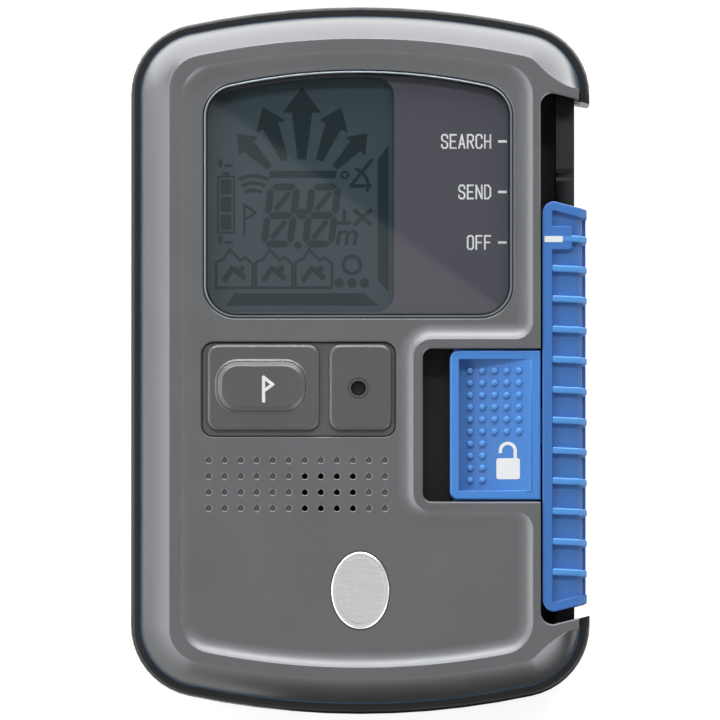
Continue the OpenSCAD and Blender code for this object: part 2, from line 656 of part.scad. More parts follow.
// Each saddle's block stands on the back wall and is hollowed by the rod that it carries
module antenna_saddles() {
    top = rod_z - 0.6;
    x_end = rod_x_l / 2 - 7;
    y_end = rod_y_l / 2 - 4;
    color("#55585c") union() {
        for (s = [-1, 1]) difference() {
            block([aerial_x - 3.3, s * x_end - 3, back_floor], [aerial_x + 3.3, s * x_end + 3, top]);
            rod_y([aerial_x, -body_l / 2, rod_z], rod_r, body_l);
        }
        for (s = [-1, 1]) difference() {
            block([s * y_end - 2.5, aerial_y - 2.6, back_floor], [s * y_end + 2.5, aerial_y + 2.6, top]);
            rod_x([-body_w / 2, aerial_y, rod_z], rod_r, body_w);
        }
        post([aerial_z.x, aerial_z.y, back_floor], core_r + 1.8, core_z - back_floor);
    }
}

// Marking button's stadium outline, grown by g
function button_shape(g) = rounded(button_c.x - button_w / 2 - g, button_c.y - button_h / 2 - g,
    button_c.x + button_w / 2 + g, button_c.y + button_h / 2 + g, button_h / 2 + g - 0.01, 8);
module keypad_frame() {
    color("#5c5d5f") difference() {
        slab(rounded(keypad_x0, keypad_y0, keypad_x1, keypad_y1, 1.9), keypad_floor, keypad_top);
        slab(button_shape(0.2), keypad_floor - 1, keypad_top + 1);
        block([groove_x - 0.75, keypad_y0 + 0.7, keypad_floor + 0.5],
            [groove_x + 0.75, keypad_y1 - 0.7, ridge_z]);
        post([led_c.x, led_c.y, keypad_floor - 1], led_r, 4);
        post([led_c.x, led_c.y, keypad_top - 0.2], led_r + 0.6, 4);
    }
}
module marking_button() {
    foot = [button_w / 2 + 1.2, button_h / 2 + 1];
    color("#58595b") difference() {
        union() {
            hull() {
                slab(button_shape(0), keypad_floor, keypad_top);
                slab(button_shape(-0.8), ridge_z - 0.15 - tiny, ridge_z - 0.15);
            }
            slab(button_shape(0), inner_z - 1, keypad_top);
            slab(rounded(button_c.x - foot.x, button_c.y - foot.y, button_c.x + foot.x,
                button_c.y + foot.y, 1), inner_z - 1.1, inner_z - 0.15);
        }
        slab(button_shape(-1.6), inner_z - 0.2, inner_z + 1);
    }
}

// Section of the slide switch: plate, bevelled edge, side wall and inward lip
module slider_body(y0, y1) {
    x1 = slider_x1;
    lip = rail_foot + 0.5;
    profile([[slider_x0, slider_bottom], [slider_x0, slider_top - 0.4], [slider_x0 + 0.4, slider_top],
        [x1 - 1.3, slider_top], [x1, slider_top - 1.3], [x1, lip + 0.3], [x1 - 0.3, lip],
        [rail_x1 - 0.9, lip], [rail_x1 - 0.9, lip + 1.9], [rail_x1 + 0.4, lip + 1.9],
        [rail_x1 + 0.4, slider_bottom]], y0, y1);
}
module mode_slider() {
    color("#3f7fce") difference() {
        union() {
            difference() {
                intersection() {
                    slider_body(slider_y0 - 1, slider_y1 + 1);
                    slab(concat([[body_w, slider_y0 + slant(body_w)], [body_w, slider_y1 - slant(body_w)]],
                        arc([slider_x0 + 2, slider_y1 - 2], 2, 90, 180),
                        arc([slider_x0 + 2, slider_y0 + 2], 2, 180, 270)), 0, body_h);
                }
                for (i = [0:slider_ribs]) slider_pocket(i);
            }
            block([slider_x0 + 1, slider_rib_y(0) - 2, slider_bottom + 1],
                [slider_x0 + 5, slider_rib_y(0) + 2, slider_top - 0.2]);
            block([slider_x0 + 0.3, slider_y0 + 4, slot_floor + 0.9],
                [slider_x0 + 1.9, slider_y1 - 4, slider_bottom + 0.5]);
        }
        slider_magnet_shape();
        for (y = [0, 1, 2] * slider_travel / 2) block([slider_x0, lock_y - y - 3.3, slider_bottom - 1.6],
            [slider_x0 + 1.1, lock_y - y + 3.3, slider_bottom]);
    }
}
function slider_rib_y(i) = slider_y1 - 6.1 - i * rib_pitch;
// Pocket above rib i, over the plate, the bevel and the side wall; the last one lies below the last rib
module slider_pocket(i) {
    d = 0.8;
    x = slider_x0 + 1.6;
    x1 = slider_x1 - 1.3 - 0.4 * d;
    half = 0.58;
    y0 = i < slider_ribs ? slider_rib_y(i) + half : slider_y0 + slant(slider_x1) + 1.5;
    y1 = i > 0 ? slider_rib_y(i - 1) - half : slider_y1 - slant(slider_x1) - 1.5;
    profile([[x, slider_top + 1], [x, slider_top - d], [x1, slider_top - d],
        [slider_x1 - d, slider_top - 1.3 - 0.4 * d], [slider_x1 - d, rail_foot + 3.2],
        [slider_x1 + 1, rail_foot + 3.2], [slider_x1 + 1, slider_top + 1]], y0, y1);
}
module slider_magnet_shape() { rod_x([slider_x0 + 0.3, magnet_y, slot_floor + 2.9], 1.8, 1.2); }
module slider_magnet() { color("#9a9ca0") slider_magnet_shape(); }
module detent_spring() {
    c = slider_y1 - 12;
    z = slider_bottom;
    top = [for (t = [-8:2:8]) [t, -0.75 * (0.5 + 0.5 * cos(t * 22.5)) - 0.05]];
    color("silver") translate([rail_x0 + 0.4, c, z]) rotate([90, 0, 90]) linear_extrude(2.2)
        polygon(concat([[-11, 0], [-11, -0.25]], [for (p = top) p - [0, 0.2]], [[11, -0.25], [11, 0]],
            [for (i = [len(top) - 1:-1:0]) top[i] + [0, 0.05]]));
}

module lock_button() {
    y0 = lock_y - lock_h / 2;
    y1 = lock_y + lock_h / 2;
    z0 = recess_z + 0.3;
    edge = 1.5;
    ramp_x = [lock_x0 + 2 * edge, lock_x1 - edge - 0.1];
    ramp_z = lock_top - lock_dip;
    dot_x = lock_x0 + 3.4;
    dot_y = y1 - 3.4;
    color("#3f7fce") union() {
        difference() {
            slab(concat([[lock_x1, y0], [lock_x1, y1]], arc([lock_x0 + edge, y1 - edge], edge, 90, 180),
                arc([lock_x0 + edge, y0 + edge], edge, 180, 270)), z0, lock_top);
            profile([[lock_x0 + edge, lock_top + 1], [lock_x0 + edge, ramp_z], [ramp_x[0], ramp_z],
                [ramp_x[1], lock_top], [ramp_x[1], lock_top + 1]], y0 + edge, y1 - edge);
        }
        for (c = [0:4]) for (r = [0:(c < 2 ? 9 : 5)])
            let (x = dot_x + c * dot_pitch, rise = (x - ramp_x[0]) * lock_dip / (ramp_x[1] - ramp_x[0]))
            post([x, dot_y - r * dot_pitch, z0 + 1], 0.5, ramp_z + rise + 0.5 - z0 - 1);
        block([lock_x0 + 0.6, y0 - 0.6, recess_z + 0.85], [lock_x1 - 0.6, y1 + 0.6, recess_z + 1.45]);
        block([leg_x, lock_y - channel_half + 0.5, channel_z + 0.3],
            [leg_x + 1.6, lock_y + channel_half - 0.5, z0 + 0.5]);
        block([lock_x1 - 1, lock_y - 3, z0 + 0.5], [slider_x0 + 0.2, lock_y + 3, slider_bottom - 0.25]);
    }
}
module lock_spring() {
    x = lock_x0 + channel[0] + 0.25;
    color("silver") wire(helix_x([x, lock_y, channel_z + 1.45], 1.05, leg_x - x - 0.25, 7), 0.2);
}

module cell(x, up) {
    y = bay_y0 + plate_t + (up ? spring_l : 0.1);
    nub = 1;
    translate([x, y + (up ? 0 : cell_l), cell_z]) rotate([up ? -90 : 90, 0, 0]) {
        cylinder(r = cell_d / 2, h = cell_l - nub);
        cylinder(r = cell_d * 0.26, h = cell_l);
    }
}
module battery_cell_1() { color("#3b6fa8") cell(-cell_pitch, true); }
module battery_cell_2() { color("#3b6fa8") cell(0, false); }
module battery_cell_3() { color("#3b6fa8") cell(cell_pitch, true); }
module contact_springs() {
    h = spring_l - 0.4;
    color("silver") union() {
        for (x = [-cell_pitch, cell_pitch])
            wire(helix_y([x, bay_y0 + plate_t + 0.2, cell_z], 3.6, 2.2, h, 4), 0.22);
        mirror([0, 1, 0]) wire(helix_y([0, -bay_top + plate_t + 0.2, cell_z], 3.6, 2.2, h, 4), 0.22);
    }
}
module contact_plates() {
    top = bay_top - plate_t;
    color("gainsboro") union() {
        contact_plate(-cell_pitch, 0, bay_y0);
        contact_plate(cell_pitch, cell_pitch, bay_y0);
        contact_plate(0, cell_pitch, top);
        contact_plate(-cell_pitch, -cell_pitch, top);
    }
}
// A plate across the cells from x0 to x1
module contact_plate(x0, x1, y) {
    half = cell_d / 2 - 0.6;
    block([x0 - half, y, cell_z - half], [x1 + half, y + plate_t, cell_z + half]);
}

module battery_cover() {
    color("#434447") difference() {
        union() {
            slab([for (p = cover_shape(0)) [p.x, min(p.y, hinge_y - barrel_r)]], cover_z, cover_in);
            for (x = [-cover_half, cover_half - lug_w]) {
                rod_x([x, hinge_y, hinge_z], barrel_r, lug_w);
                block([x, hinge_y - barrel_r - 1, cover_z], [x + lug_w, hinge_y, cover_in]);
            }
            for (x = [-bay_half + 3, bay_half - 4.2])
                block([x, bay_y0 + 3, cover_in - 0.1], [x + 1.2, bay_top - 6, cover_in + 0.2]);
        }
        for (s = [-1, 1]) rod_x([s * (cover_half - 2) - 3, hinge_y, hinge_z], hinge_pin_r + 0.06, 6);
        post([0, screw_y, cover_z - 1], 4.3, 1 + 1.2);
        post([0, screw_y, cover_z], 1.95, 3);
    }
}
module cover_seal() {
    color("#1f2022") difference() {
        slab(rounded(-bay_half - 1.5, bay_y0 - 1.5, bay_half + 1.5, bay_top - 0.6, 1.5),
            cover_in, cover_in + seal_t);
        slab(rounded(-bay_half - 0.3, bay_y0 - 0.3, bay_half + 0.3, bay_top - 1.8, 1),
            cover_in - 1, cover_in + 1);
    }
}
module cover_hinge_pins() {
    l = 5.4;
    color("silver") for (s = [-1, 1])
        rod_x([s * (cover_half - 0.8) - l / 2, hinge_y, hinge_z], hinge_pin_r, l);
}
module cover_screw() {
    color("silver") difference() {
        union() {
            post([0, screw_y, cover_z + 0.1], 4.1, 1.05);
            post([0, screw_y, cover_z + 1], 1.85, frame_top - cover_z - 0.6);
        }
        block([-3.4, screw_y - 0.6, 0], [3.4, screw_y + 0.6, cover_z + 0.7]);
    }
}
module cover_screw_nut() {
    color("#b08d3c") difference() {
        post([0, screw_y, ledge_in + 0.6], 3.2, frame_top + 0.8 - ledge_in);
        post([0, screw_y, 0], 2.4, body_h);
    }
}

front_housing();
rear_housing();
housing_seal();
housing_screws();
name_plate();
window_lens();
window_adhesive();
lcd_glass();
lcd_frame();
lcd_light_guide();
lcd_contact_strip();
main_board();
processor_chip();
radio_module();
hall_sensors();
small_components();
status_led();
button_switch();
speaker();
speaker_mesh();
antenna_x_rod();
antenna_x_coil();
antenna_y_rod();
antenna_y_coil();
antenna_z_core();
antenna_z_coil();
antenna_saddles();
keypad_frame();
marking_button();
mode_slider();
slider_magnet();
detent_spring();
lock_button();
lock_spring();
battery_cell_1();
battery_cell_2();
battery_cell_3();
contact_springs();
contact_plates();
battery_cover();
cover_seal();
cover_hinge_pins();
cover_screw();
cover_screw_nut();
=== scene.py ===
"""Looks of a handheld avalanche transceiver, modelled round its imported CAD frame."""

import json
import math

import bpy
from bpy.props import FloatProperty, FloatVectorProperty, PointerProperty
from bpy.types import Operator, Panel, PropertyGroup
from mathutils import Matrix, Vector

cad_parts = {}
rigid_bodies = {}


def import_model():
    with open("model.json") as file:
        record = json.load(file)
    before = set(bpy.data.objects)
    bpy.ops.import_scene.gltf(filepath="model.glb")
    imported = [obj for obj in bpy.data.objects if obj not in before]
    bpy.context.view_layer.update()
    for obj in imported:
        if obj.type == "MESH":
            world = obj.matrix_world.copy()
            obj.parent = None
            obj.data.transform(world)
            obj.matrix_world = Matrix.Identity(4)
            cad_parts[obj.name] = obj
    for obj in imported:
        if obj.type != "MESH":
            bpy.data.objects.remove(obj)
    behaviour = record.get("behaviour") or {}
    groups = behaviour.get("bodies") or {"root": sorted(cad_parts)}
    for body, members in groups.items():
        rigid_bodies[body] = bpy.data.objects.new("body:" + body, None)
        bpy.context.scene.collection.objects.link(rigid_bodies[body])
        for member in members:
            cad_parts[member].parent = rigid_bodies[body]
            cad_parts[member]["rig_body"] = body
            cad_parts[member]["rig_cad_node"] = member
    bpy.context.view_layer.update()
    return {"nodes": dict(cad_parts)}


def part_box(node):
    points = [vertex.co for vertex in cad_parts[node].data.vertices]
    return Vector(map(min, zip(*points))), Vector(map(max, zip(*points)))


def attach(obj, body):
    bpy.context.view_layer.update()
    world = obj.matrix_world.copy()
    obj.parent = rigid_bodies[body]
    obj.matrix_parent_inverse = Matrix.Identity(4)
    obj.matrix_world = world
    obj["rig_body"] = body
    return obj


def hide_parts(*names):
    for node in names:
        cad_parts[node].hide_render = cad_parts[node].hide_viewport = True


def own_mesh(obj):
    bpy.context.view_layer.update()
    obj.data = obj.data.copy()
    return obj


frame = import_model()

bl_info = {
    "name": "Avalanche Transceiver",
    "version": (1, 0, 0),
    "blender": (4, 5, 0),
    "location": "View3D > Sidebar > Transceiver",
    "description": "Models the housings, display, switches and battery bay of a handheld transceiver",
    "category": "Object",
}

MM = 0.001


def box(node):
    """Lowest and highest corner of a CAD node, in millimetres."""
    low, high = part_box(node)
    return low / MM, high / MM


# Places that the CAD frame gives, in millimetres. Each is a lowest and a highest corner.
REAR = box("rear_housing")
FRONT = box("front_housing")
WINDOW = box("window_lens")
GLASS = box("lcd_glass")
KEYPAD = box("keypad_frame")
LAMP = box("status_led")
BADGE = box("name_plate")
SLIDER = box("mode_slider")
LOCK = box("lock_button")

# Outline of the housing: straight sides, crowned ends and round corners
HALF_W = REAR[1].x
HALF_L = REAR[1].y
CROWN_R = 138
CROWN_Y = HALF_L - CROWN_R
CORNER_R = 12
CORNER_X = HALF_W - CORNER_R

# Front housing: how far it stands in from the outline, how much longer it grows for each millimetre drawn in,
# where the ridge leaves the upper right corner, and how far it runs out from there
RIM_INSET = 1.8
END_STRETCH = 0.003
RUN_START = (28.76, 49.7)
RUN_REACH = (7.64, 4.8)

# Levels
RIDGE_Z = FRONT[1].z
DISH_Z = RIDGE_Z - 0.9
PLATE_Z = DISH_Z - 2
JOINT_Z = RIDGE_Z - 6.2
SKIRT_Z = JOINT_Z - 4

# Slot of the slide switch, the step between the switch's places, and its ribs
SLOT_X = SLIDER[0].x - 0.3
SLOT_HALF = 2.1 - SLIDER[0].y
SLOT_FLOOR = SKIRT_Z + 1.4
SLANT = math.tan(math.radians(14))
SLIDER_TOP = SLIDER[1].z
RAIL_X = SLIDER[1].x - 5.1
MODE_STEP = 8.25
RIBS, RIB_PITCH = 12, 5.05

# Lock button and its recess, with its travel and the pitch of its grip dots
LOCK_Y = (LOCK[0].y + LOCK[1].y) / 2
LOCK_X = LOCK[0].x
LOCK_HALF = 12.45
RECESS_X = LOCK_X - 4.5
RECESS_HALF = LOCK_HALF + 0.3
RECESS_WALL = 1.5
RECESS_Z = DISH_Z - 3.9
DOT_PITCH = 2.02
CHANNEL_Z = SKIRT_Z + 2.6

# Window, keypad and sound grille
WINDOW_CROWN = 100
WINDOW_CORNER = 5.5
KEYPAD_Z = KEYPAD[0].z
KEY_X, KEY_Y = -16.45, -4.6
KEY_W, KEY_H = 14.6, 8.2
LAMP_X, LAMP_Y = (LAMP[0].x + LAMP[1].x) / 2, (LAMP[0].y + LAMP[1].y) / 2
GRILLE_X, GRILLE_Y = -25.21, -16.9
GRILLE_PITCH = 2.665
GRILLE_COLUMNS, GRILLE_ROWS = 12, 4

# Chamfer round the slot and the recess, depth of the badge's seat, and places of the screw bosses
CHAMFER = 0.25
BADGE_SEAT = 0.2
BOSSES = [(24.5, 49.49), (24.5, -49.49), (-30.6, 45.5), (-30.6, -45.5)]


# ---------------------------------------------------------------- modelling

def release():
    """Leaves edit mode with nothing selected."""
    if bpy.context.object and bpy.context.object.mode == "EDIT":
        bpy.ops.object.mode_set(mode="OBJECT")
    bpy.ops.object.select_all(action="DESELECT")


def only(piece):
    """Makes one piece the selected and active object."""
    release()
    piece.select_set(True)
    bpy.context.view_layer.objects.active = piece


def slide(x, y, z):
    """Moves what is selected."""
    bpy.ops.transform.translate(value=(x * MM, y * MM, z * MM))


def pull(x, y, z):
    """Extrudes what is selected."""
    bpy.ops.mesh.extrude_region_move(TRANSFORM_OT_translate={"value": (x * MM, y * MM, z * MM)})


def close_up(piece):
    """Merges doubles, points the faces outwards and leaves edit mode."""
    bpy.ops.mesh.select_all(action="SELECT")
    bpy.ops.mesh.remove_doubles(threshold=0.001 * MM)
    bpy.ops.mesh.normals_make_consistent(inside=False)
    bpy.ops.object.mode_set(mode="OBJECT")
    return piece


def trace(name, z, path):
    """Draws an outline at height z and fills it.

    A pair in the path goes straight to a point, and a triple swings round a centre by an angle.
    """
    release()
    bpy.ops.mesh.primitive_plane_add(size=MM)
    piece = bpy.context.object
    piece.name = name
    bpy.ops.object.mode_set(mode="EDIT")
    bpy.ops.mesh.merge(type="CENTER")
    pen = Vector(path[0])
    slide(pen.x, pen.y, z)
    for leg in path[1:]:
        if len(leg) == 2:
            step = Vector(leg) - pen
            if step.length > 0.001:
                pull(step.x, step.y, 0)
            pen = Vector(leg)
            continue
        centre, turn = Vector(leg[:2]), leg[2]
        arm = pen - centre
        coarse = 5 if arm.length > 4 else 9 if arm.length > 1 else 20
        steps = max(math.ceil(abs(turn) / coarse), math.ceil(arm.length * math.radians(abs(turn)) / 2), 1)
        bpy.ops.mesh.spin(steps=steps, angle=-math.radians(turn), axis=(0, 0, 1),
                          center=(centre.x * MM, centre.y * MM, z * MM))
        arm.rotate(Matrix.Rotation(math.radians(turn), 2))
        pen = centre + arm
    bpy.ops.mesh.select_all(action="SELECT")
    bpy.ops.mesh.remove_doubles(threshold=0.001 * MM)
    bpy.ops.mesh.edge_face_add()
    return piece


def solid(name, z, path, *steps, stretch=0):
    """Carries a filled outline through steps.

    Each step draws the last face in by its first number and moves it by its second.
    """
    piece = trace(name, z, path)
    for inset, rise in steps:
        if not inset:
            pull(0, 0, rise)
            continue
        bpy.ops.mesh.inset(thickness=inset * MM, use_even_offset=True)
        slide(0, 0, rise)
        if stretch:
            bpy.ops.transform.resize(value=(1, 1 + stretch * inset, 1))
    return close_up(piece)


def turned(piece, axis, degrees):
    """Turns a piece about an axis through the origin and keeps the turn in its mesh."""
    only(piece)
    piece.rotation_euler["XYZ".index(axis)] = math.radians(degrees)
    bpy.ops.object.transform_apply(location=True, rotation=True, scale=True)
    return piece


def rail(name, path, y0, y1):
    """A section in X and Z that runs from y0 to y1."""
    return turned(solid(name, -y1, path, (0, y1 - y0)), "X", 90)


def rod(name, x, y, z, radius, length, axis="Z"):
    """A cylinder from its foot along an axis."""
    release()
    bpy.ops.mesh.primitive_cylinder_add(vertices=32, radius=radius * MM, depth=length * MM)
    piece = bpy.context.object
    piece.name = name
    piece.data.transform(Matrix.Translation((0, 0, length / 2 * MM)))
    piece.rotation_euler = {"X": (0, math.pi / 2, 0), "Y": (-math.pi / 2, 0, 0), "Z": (0, 0, 0)}[axis]
    piece.location = Vector((x, y, z)) * MM
    bpy.ops.object.transform_apply(location=True, rotation=True, scale=True)
    return piece


def rect(x0, y0, x1, y1, r=0):
    """Outline of a rectangle with round corners."""
    if not r:
        return [(x1, y0), (x1, y1), (x0, y1), (x0, y0)]
    return [(x1, y0 + r), (x1, y1 - r), (x1 - r, y1 - r, 90), (x0 + r, y1), (x0 + r, y1 - r, 90),
            (x0, y0 + r), (x0 + r, y0 + r, 90), (x1 - r, y0), (x1 - r, y0 + r, 90)]


def circle(x, y, r):
    """Outline of a circle."""
    return [(x + r, y), (x, y, 360)]


def bar(x0, y0, x1, y1, width):
    """Outline of a straight stroke between two points."""
    along = Vector((x1 - x0, y1 - y0)).normalized() * width / 2
    side = Vector((-along.y, along.x))
    a, b = Vector((x0, y0)), Vector((x1, y1))
    return [tuple(a - side), tuple(b - side), tuple(b + side), tuple(a + side)]


def arch(x, y, r, width, start, sweep):
    """Outline of a stroke that swings round a centre."""
    first, last = math.radians(start), math.radians(start + sweep)
    outer, inner = r + width / 2, r - width / 2
    return [(x + outer * math.cos(first), y + outer * math.sin(first)), (x, y, sweep),
            (x + inner * math.cos(last), y + inner * math.sin(last)), (x, y, -sweep)]


def block(name, low, high):
    """A box between two corners."""
    return solid(name, low[2], rect(low[0], low[1], high[0], high[1]), (0, high[2] - low[2]))


def joined(*pieces):
    """Joins pieces into the first one."""
    if len(pieces) > 1:
        only(pieces[0])
        for piece in pieces:
            piece.select_set(True)
        bpy.ops.object.join()
    return pieces[0]


def combine(piece, operation, *tools):
    """Applies Boolean modifiers and removes the tools."""
    for tool in tools:
        only(piece)
        modifier = piece.modifiers.new("Boolean", "BOOLEAN")
        modifier.operation = operation
        modifier.solver = "EXACT"
        modifier.object = tool
        bpy.ops.object.modifier_apply(modifier=modifier.name)
        bpy.data.objects.remove(tool)
    return piece


def cut(piece, *tools):
    """Takes tools away from a piece."""
    return combine(piece, "DIFFERENCE", *tools)


def weld(piece, *tools):
    """Makes one solid of a piece and tools."""
    return combine(piece, "UNION", *tools)


def soften(piece, width, segments=2):
    """Rounds the edges that turn by more than 35 degrees."""
    only(piece)
    modifier = piece.modifiers.new("Bevel", "BEVEL")
    modifier.width = width * MM
    modifier.segments = segments
    modifier.limit_method = "ANGLE"
    modifier.angle_limit = math.radians(35)
    bpy.ops.object.modifier_apply(modifier=modifier.name)
    return piece


def copies(piece, places):
    """The piece and copies of it at these offsets, joined."""
    made = []
    for x, y, z in places:
        twin = piece.copy()
        twin.data = piece.data.copy()
        twin.data.transform(Matrix.Translation(Vector((x, y, z)) * MM))
        bpy.context.scene.collection.objects.link(twin)
        made.append(twin)
    bpy.data.objects.remove(piece)
    return joined(*made)


def smooth(piece, angle=32):
    """Shades a piece smoothly up to an angle, with large faces kept flat."""
    only(piece)
    bpy.ops.object.shade_smooth_by_angle(angle=math.radians(angle))
    modifier = piece.modifiers.new("Weighted Normal", "WEIGHTED_NORMAL")
    modifier.keep_sharp = True
    bpy.ops.object.modifier_apply(modifier=modifier.name)
    return piece


def finished(piece, material, body="housing", nodes=()):
    """Gives a piece its material and its body, and hides the CAD nodes that it stands for."""
    piece.data.materials.clear()
    piece.data.materials.append(material)
    piece.data.name = piece.name
    if nodes:
        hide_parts(*nodes)
    release()
    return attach(piece, body)


def refined(node, name, angle):
    """A copy of a CAD node's mesh with its doubles merged and its facets shaded smoothly."""
    source = frame["nodes"][node]
    piece = source.copy()
    piece.data = source.data.copy()
    piece.name = name
    piece.parent = None
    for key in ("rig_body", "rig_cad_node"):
        del piece[key]
    bpy.context.scene.collection.objects.link(piece)
    only(piece)
    bpy.ops.object.mode_set(mode="EDIT")
    bpy.ops.mesh.select_all(action="SELECT")
    bpy.ops.mesh.remove_doubles(threshold=0.002 * MM)
    bpy.ops.mesh.dissolve_limited(angle_limit=math.radians(1))
    bpy.ops.object.mode_set(mode="OBJECT")
    return smooth(piece, angle)


# ---------------------------------------------------------------- materials

def paint(code):
    """A screen colour such as 6d6e70 as linear red, green and blue."""
    shades = [int(code[i:i + 2], 16) / 255 for i in (0, 2, 4)]
    return tuple(c / 12.92 if c <= 0.04045 else ((c + 0.055) / 1.055) ** 2.4 for c in shades)


class Signal:
    """A node's output. Each sum, difference or product of it adds a Math node."""

    def __init__(self, graph, socket):
        self.graph, self.socket = graph, socket

    def math(self, operation, *values):
        """A Math node's result."""
        return self.graph.add("ShaderNodeMath", {"operation": operation}, dict(enumerate(values)))

    def beside(self, output):
        """Another output of the same node."""
        return Signal(self.graph, self.socket.node.outputs[output])

    def __add__(self, other):
        return self.math("ADD", self, other)

    def __sub__(self, other):
        return self.math("SUBTRACT", self, other)

    def __rsub__(self, other):
        return self.math("SUBTRACT", other, self)

    def __mul__(self, other):
        return self.math("MULTIPLY", self, other)

    def above(self, level):
        """1 where the value is greater than a level, and 0 elsewhere."""
        return self.math("GREATER_THAN", self, level)

    __radd__, __rmul__ = __add__, __mul__


class Graph:
    """Nodes of a material or of the world."""

    def __init__(self, tree):
        self.tree = tree

    def add(self, kind, settings, values, output=0):
        """Adds a node, sets it up, feeds its sockets and returns one of its outputs."""
        node = self.tree.nodes.new(kind)
        for name, value in settings.items():
            setattr(node, name, value)
        for socket, value in values.items():
            if isinstance(value, Signal):
                self.tree.links.new(value.socket, node.inputs[socket])
            else:
                node.inputs[socket].default_value = value
        return Signal(self, node.outputs[output])

    def ends(self, shader, output):
        """Makes a shader what the material or the world shows."""
        self.tree.links.new(shader.socket, self.tree.nodes[output].inputs["Surface"])


class Finish(Graph):
    """A material built round one Principled shader."""

    def __init__(self, name, roughness=0.5, metallic=0.0, **sockets):
        self.material = bpy.data.materials.new(name)
        self.material.use_nodes = True
        super().__init__(self.material.node_tree)
        self.shader = self.tree.nodes["Principled BSDF"]
        self.set("Roughness", roughness)
        self.set("Metallic", metallic)
        for socket, value in sockets.items():
            self.set(socket.replace("_", " "), value)
        self.where = self.add("ShaderNodeTexCoord", {}, {}, "Object")

    def set(self, socket, value):
        """Feeds one of the Principled shader's sockets."""
        if isinstance(value, Signal):
            self.tree.links.new(value.socket, self.shader.inputs[socket])
        elif socket in ("Base Color", "Emission Color"):
            self.shader.inputs[socket].default_value = (*value[:3], 1)
        else:
            self.shader.inputs[socket].default_value = value

    def noise(self, size, detail=2, roughness=0.5, stretch=(1, 1, 1)):
        """Noise whose features are about this many millimetres across."""
        place = self.add("ShaderNodeMapping", {}, {"Vector": self.where, "Scale": stretch})
        return self.add("ShaderNodeTexNoise", {}, {
            "Vector": place, "Scale": 1 / (size * MM), "Detail": detail, "Roughness": roughness})

    def mix(self, share, a, b):
        """A colour between a and b."""
        value = {0: share}
        for socket, colour in ((6, a), (7, b)):
            value[socket] = colour if isinstance(colour, Signal) else (*colour[:3], 1)
        return self.add("ShaderNodeMix", {"data_type": "RGBA"}, value, 2)

    def ramp(self, share, low, high):
        """Stretches a range of values to 0 to 1."""
        return self.add("ShaderNodeMapRange", {}, {"Value": share, "From Min": low, "From Max": high})

    def bump(self, height, depth):
        """Raises the surface by a height from 0 to 1 times a depth in millimetres."""
        self.set("Normal", self.add("ShaderNodeBump", {}, {"Height": height, "Distance": depth * MM}))


def shades(colour, spread):
    """A colour made darker and lighter by a share."""
    return tuple(c * (1 - spread) for c in colour), tuple(min(c * (1 + spread), 1) for c in colour)


def moulded(name, colour, roughness=0.5, grain=0.3, depth=0.012, spread=0.08, metallic=0.0, **sockets):
    """Moulded plastic or paint: fine grain, faint clouds in its colour and an uneven gloss."""
    finish = Finish(name, metallic=metallic, **sockets)
    fine = finish.noise(grain, 3)
    clouds = finish.noise(14, 3)
    tone = finish.ramp(fine * 0.4 + clouds * 0.6, 0.3, 0.7)
    finish.set("Base Color", finish.mix(tone, *shades(colour, spread)))
    finish.set("Roughness", fine * 0.12 + clouds * 0.06 + (roughness - 0.09))
    finish.bump(fine, depth)
    return finish.material


def metal(name, colour, roughness=0.3, lines=(1, 1, 1), grain=0.2, depth=0.004):
    """Metal with fine marks, drawn out along an axis where lines says so."""
    finish = Finish(name, metallic=1.0)
    marks = finish.noise(grain, 4, 0.6, lines)
    finish.set("Base Color", finish.mix(marks, *shades(colour, 0.08)))
    finish.set("Roughness", marks * 0.2 + (roughness - 0.1))
    finish.bump(marks, depth)
    return finish.material


# ---------------------------------------------------------------- outlines of the housing

def crown_corner(x, crown, corner):
    """Where a corner's centre lies under a crown, and the angle at which it meets the crown."""
    y = CROWN_Y + math.sqrt((crown - corner) ** 2 - x * x)
    return y, math.degrees(math.atan2(y - CROWN_Y, x))


def outline(inset):
    """The housing's outline, drawn in by an inset."""
    side, x = HALF_W - inset, CORNER_X
    y, swing = crown_corner(x, CROWN_R, CORNER_R)
    return [(side, -y), (side, y), (x, y, swing), (0, CROWN_Y, 180 - 2 * swing), (-x, y, swing),
            (-side, -y), (-x, -y, swing), (0, -CROWN_Y, 180 - 2 * swing), (x, -y, swing)]


def recess_walls():
    """Where the walls beside the lock's recess end, below and above it."""
    half = RECESS_HALF + RECESS_WALL
    return LOCK_Y - half, LOCK_Y + half


def dish_outline():
    """The dished panel inside the ridge, which steps round the lock."""
    crown, r, step = CROWN_R - 7.55, 5.5, 3
    right, left = SLOT_X - 1.2, -HALF_W + 8.35
    yr, ar = crown_corner(right - r, crown, r)
    yl, al = crown_corner(left + r, crown, r)
    x, (low, high) = RECESS_X - RECESS_WALL, recess_walls()
    return [(right, -yr), (right, low - step), (right - step, low - step, 90),
            (x + step, low), (x + step, low + step, -90), (x, high - step), (x + step, high - step, -90),
            (right - step, high), (right - step, high + step, 90),
            (right, yr), (right - r, yr, ar), (0, CROWN_Y, al - ar), (left + r, yl, 180 - al),
            (left, -yl), (left + r, -yl, 180 - al), (0, -CROWN_Y, al - ar), (right - r, -yr, ar)]


def slot_outline(grow):
    """The slide switch's slot, open to the side, with slanting ends."""
    x0, x1, y, r = SLOT_X - grow, HALF_W + 2, SLOT_HALF + grow, 2.2 + grow / 2
    end = y - (x1 - SLIDER[0].x - 1.7) * SLANT
    return [(x1, -end), (x1, end), (x0 + r, y), (x0 + r, y - r, 90), (x0, r - y), (x0 + r, r - y, 90)]


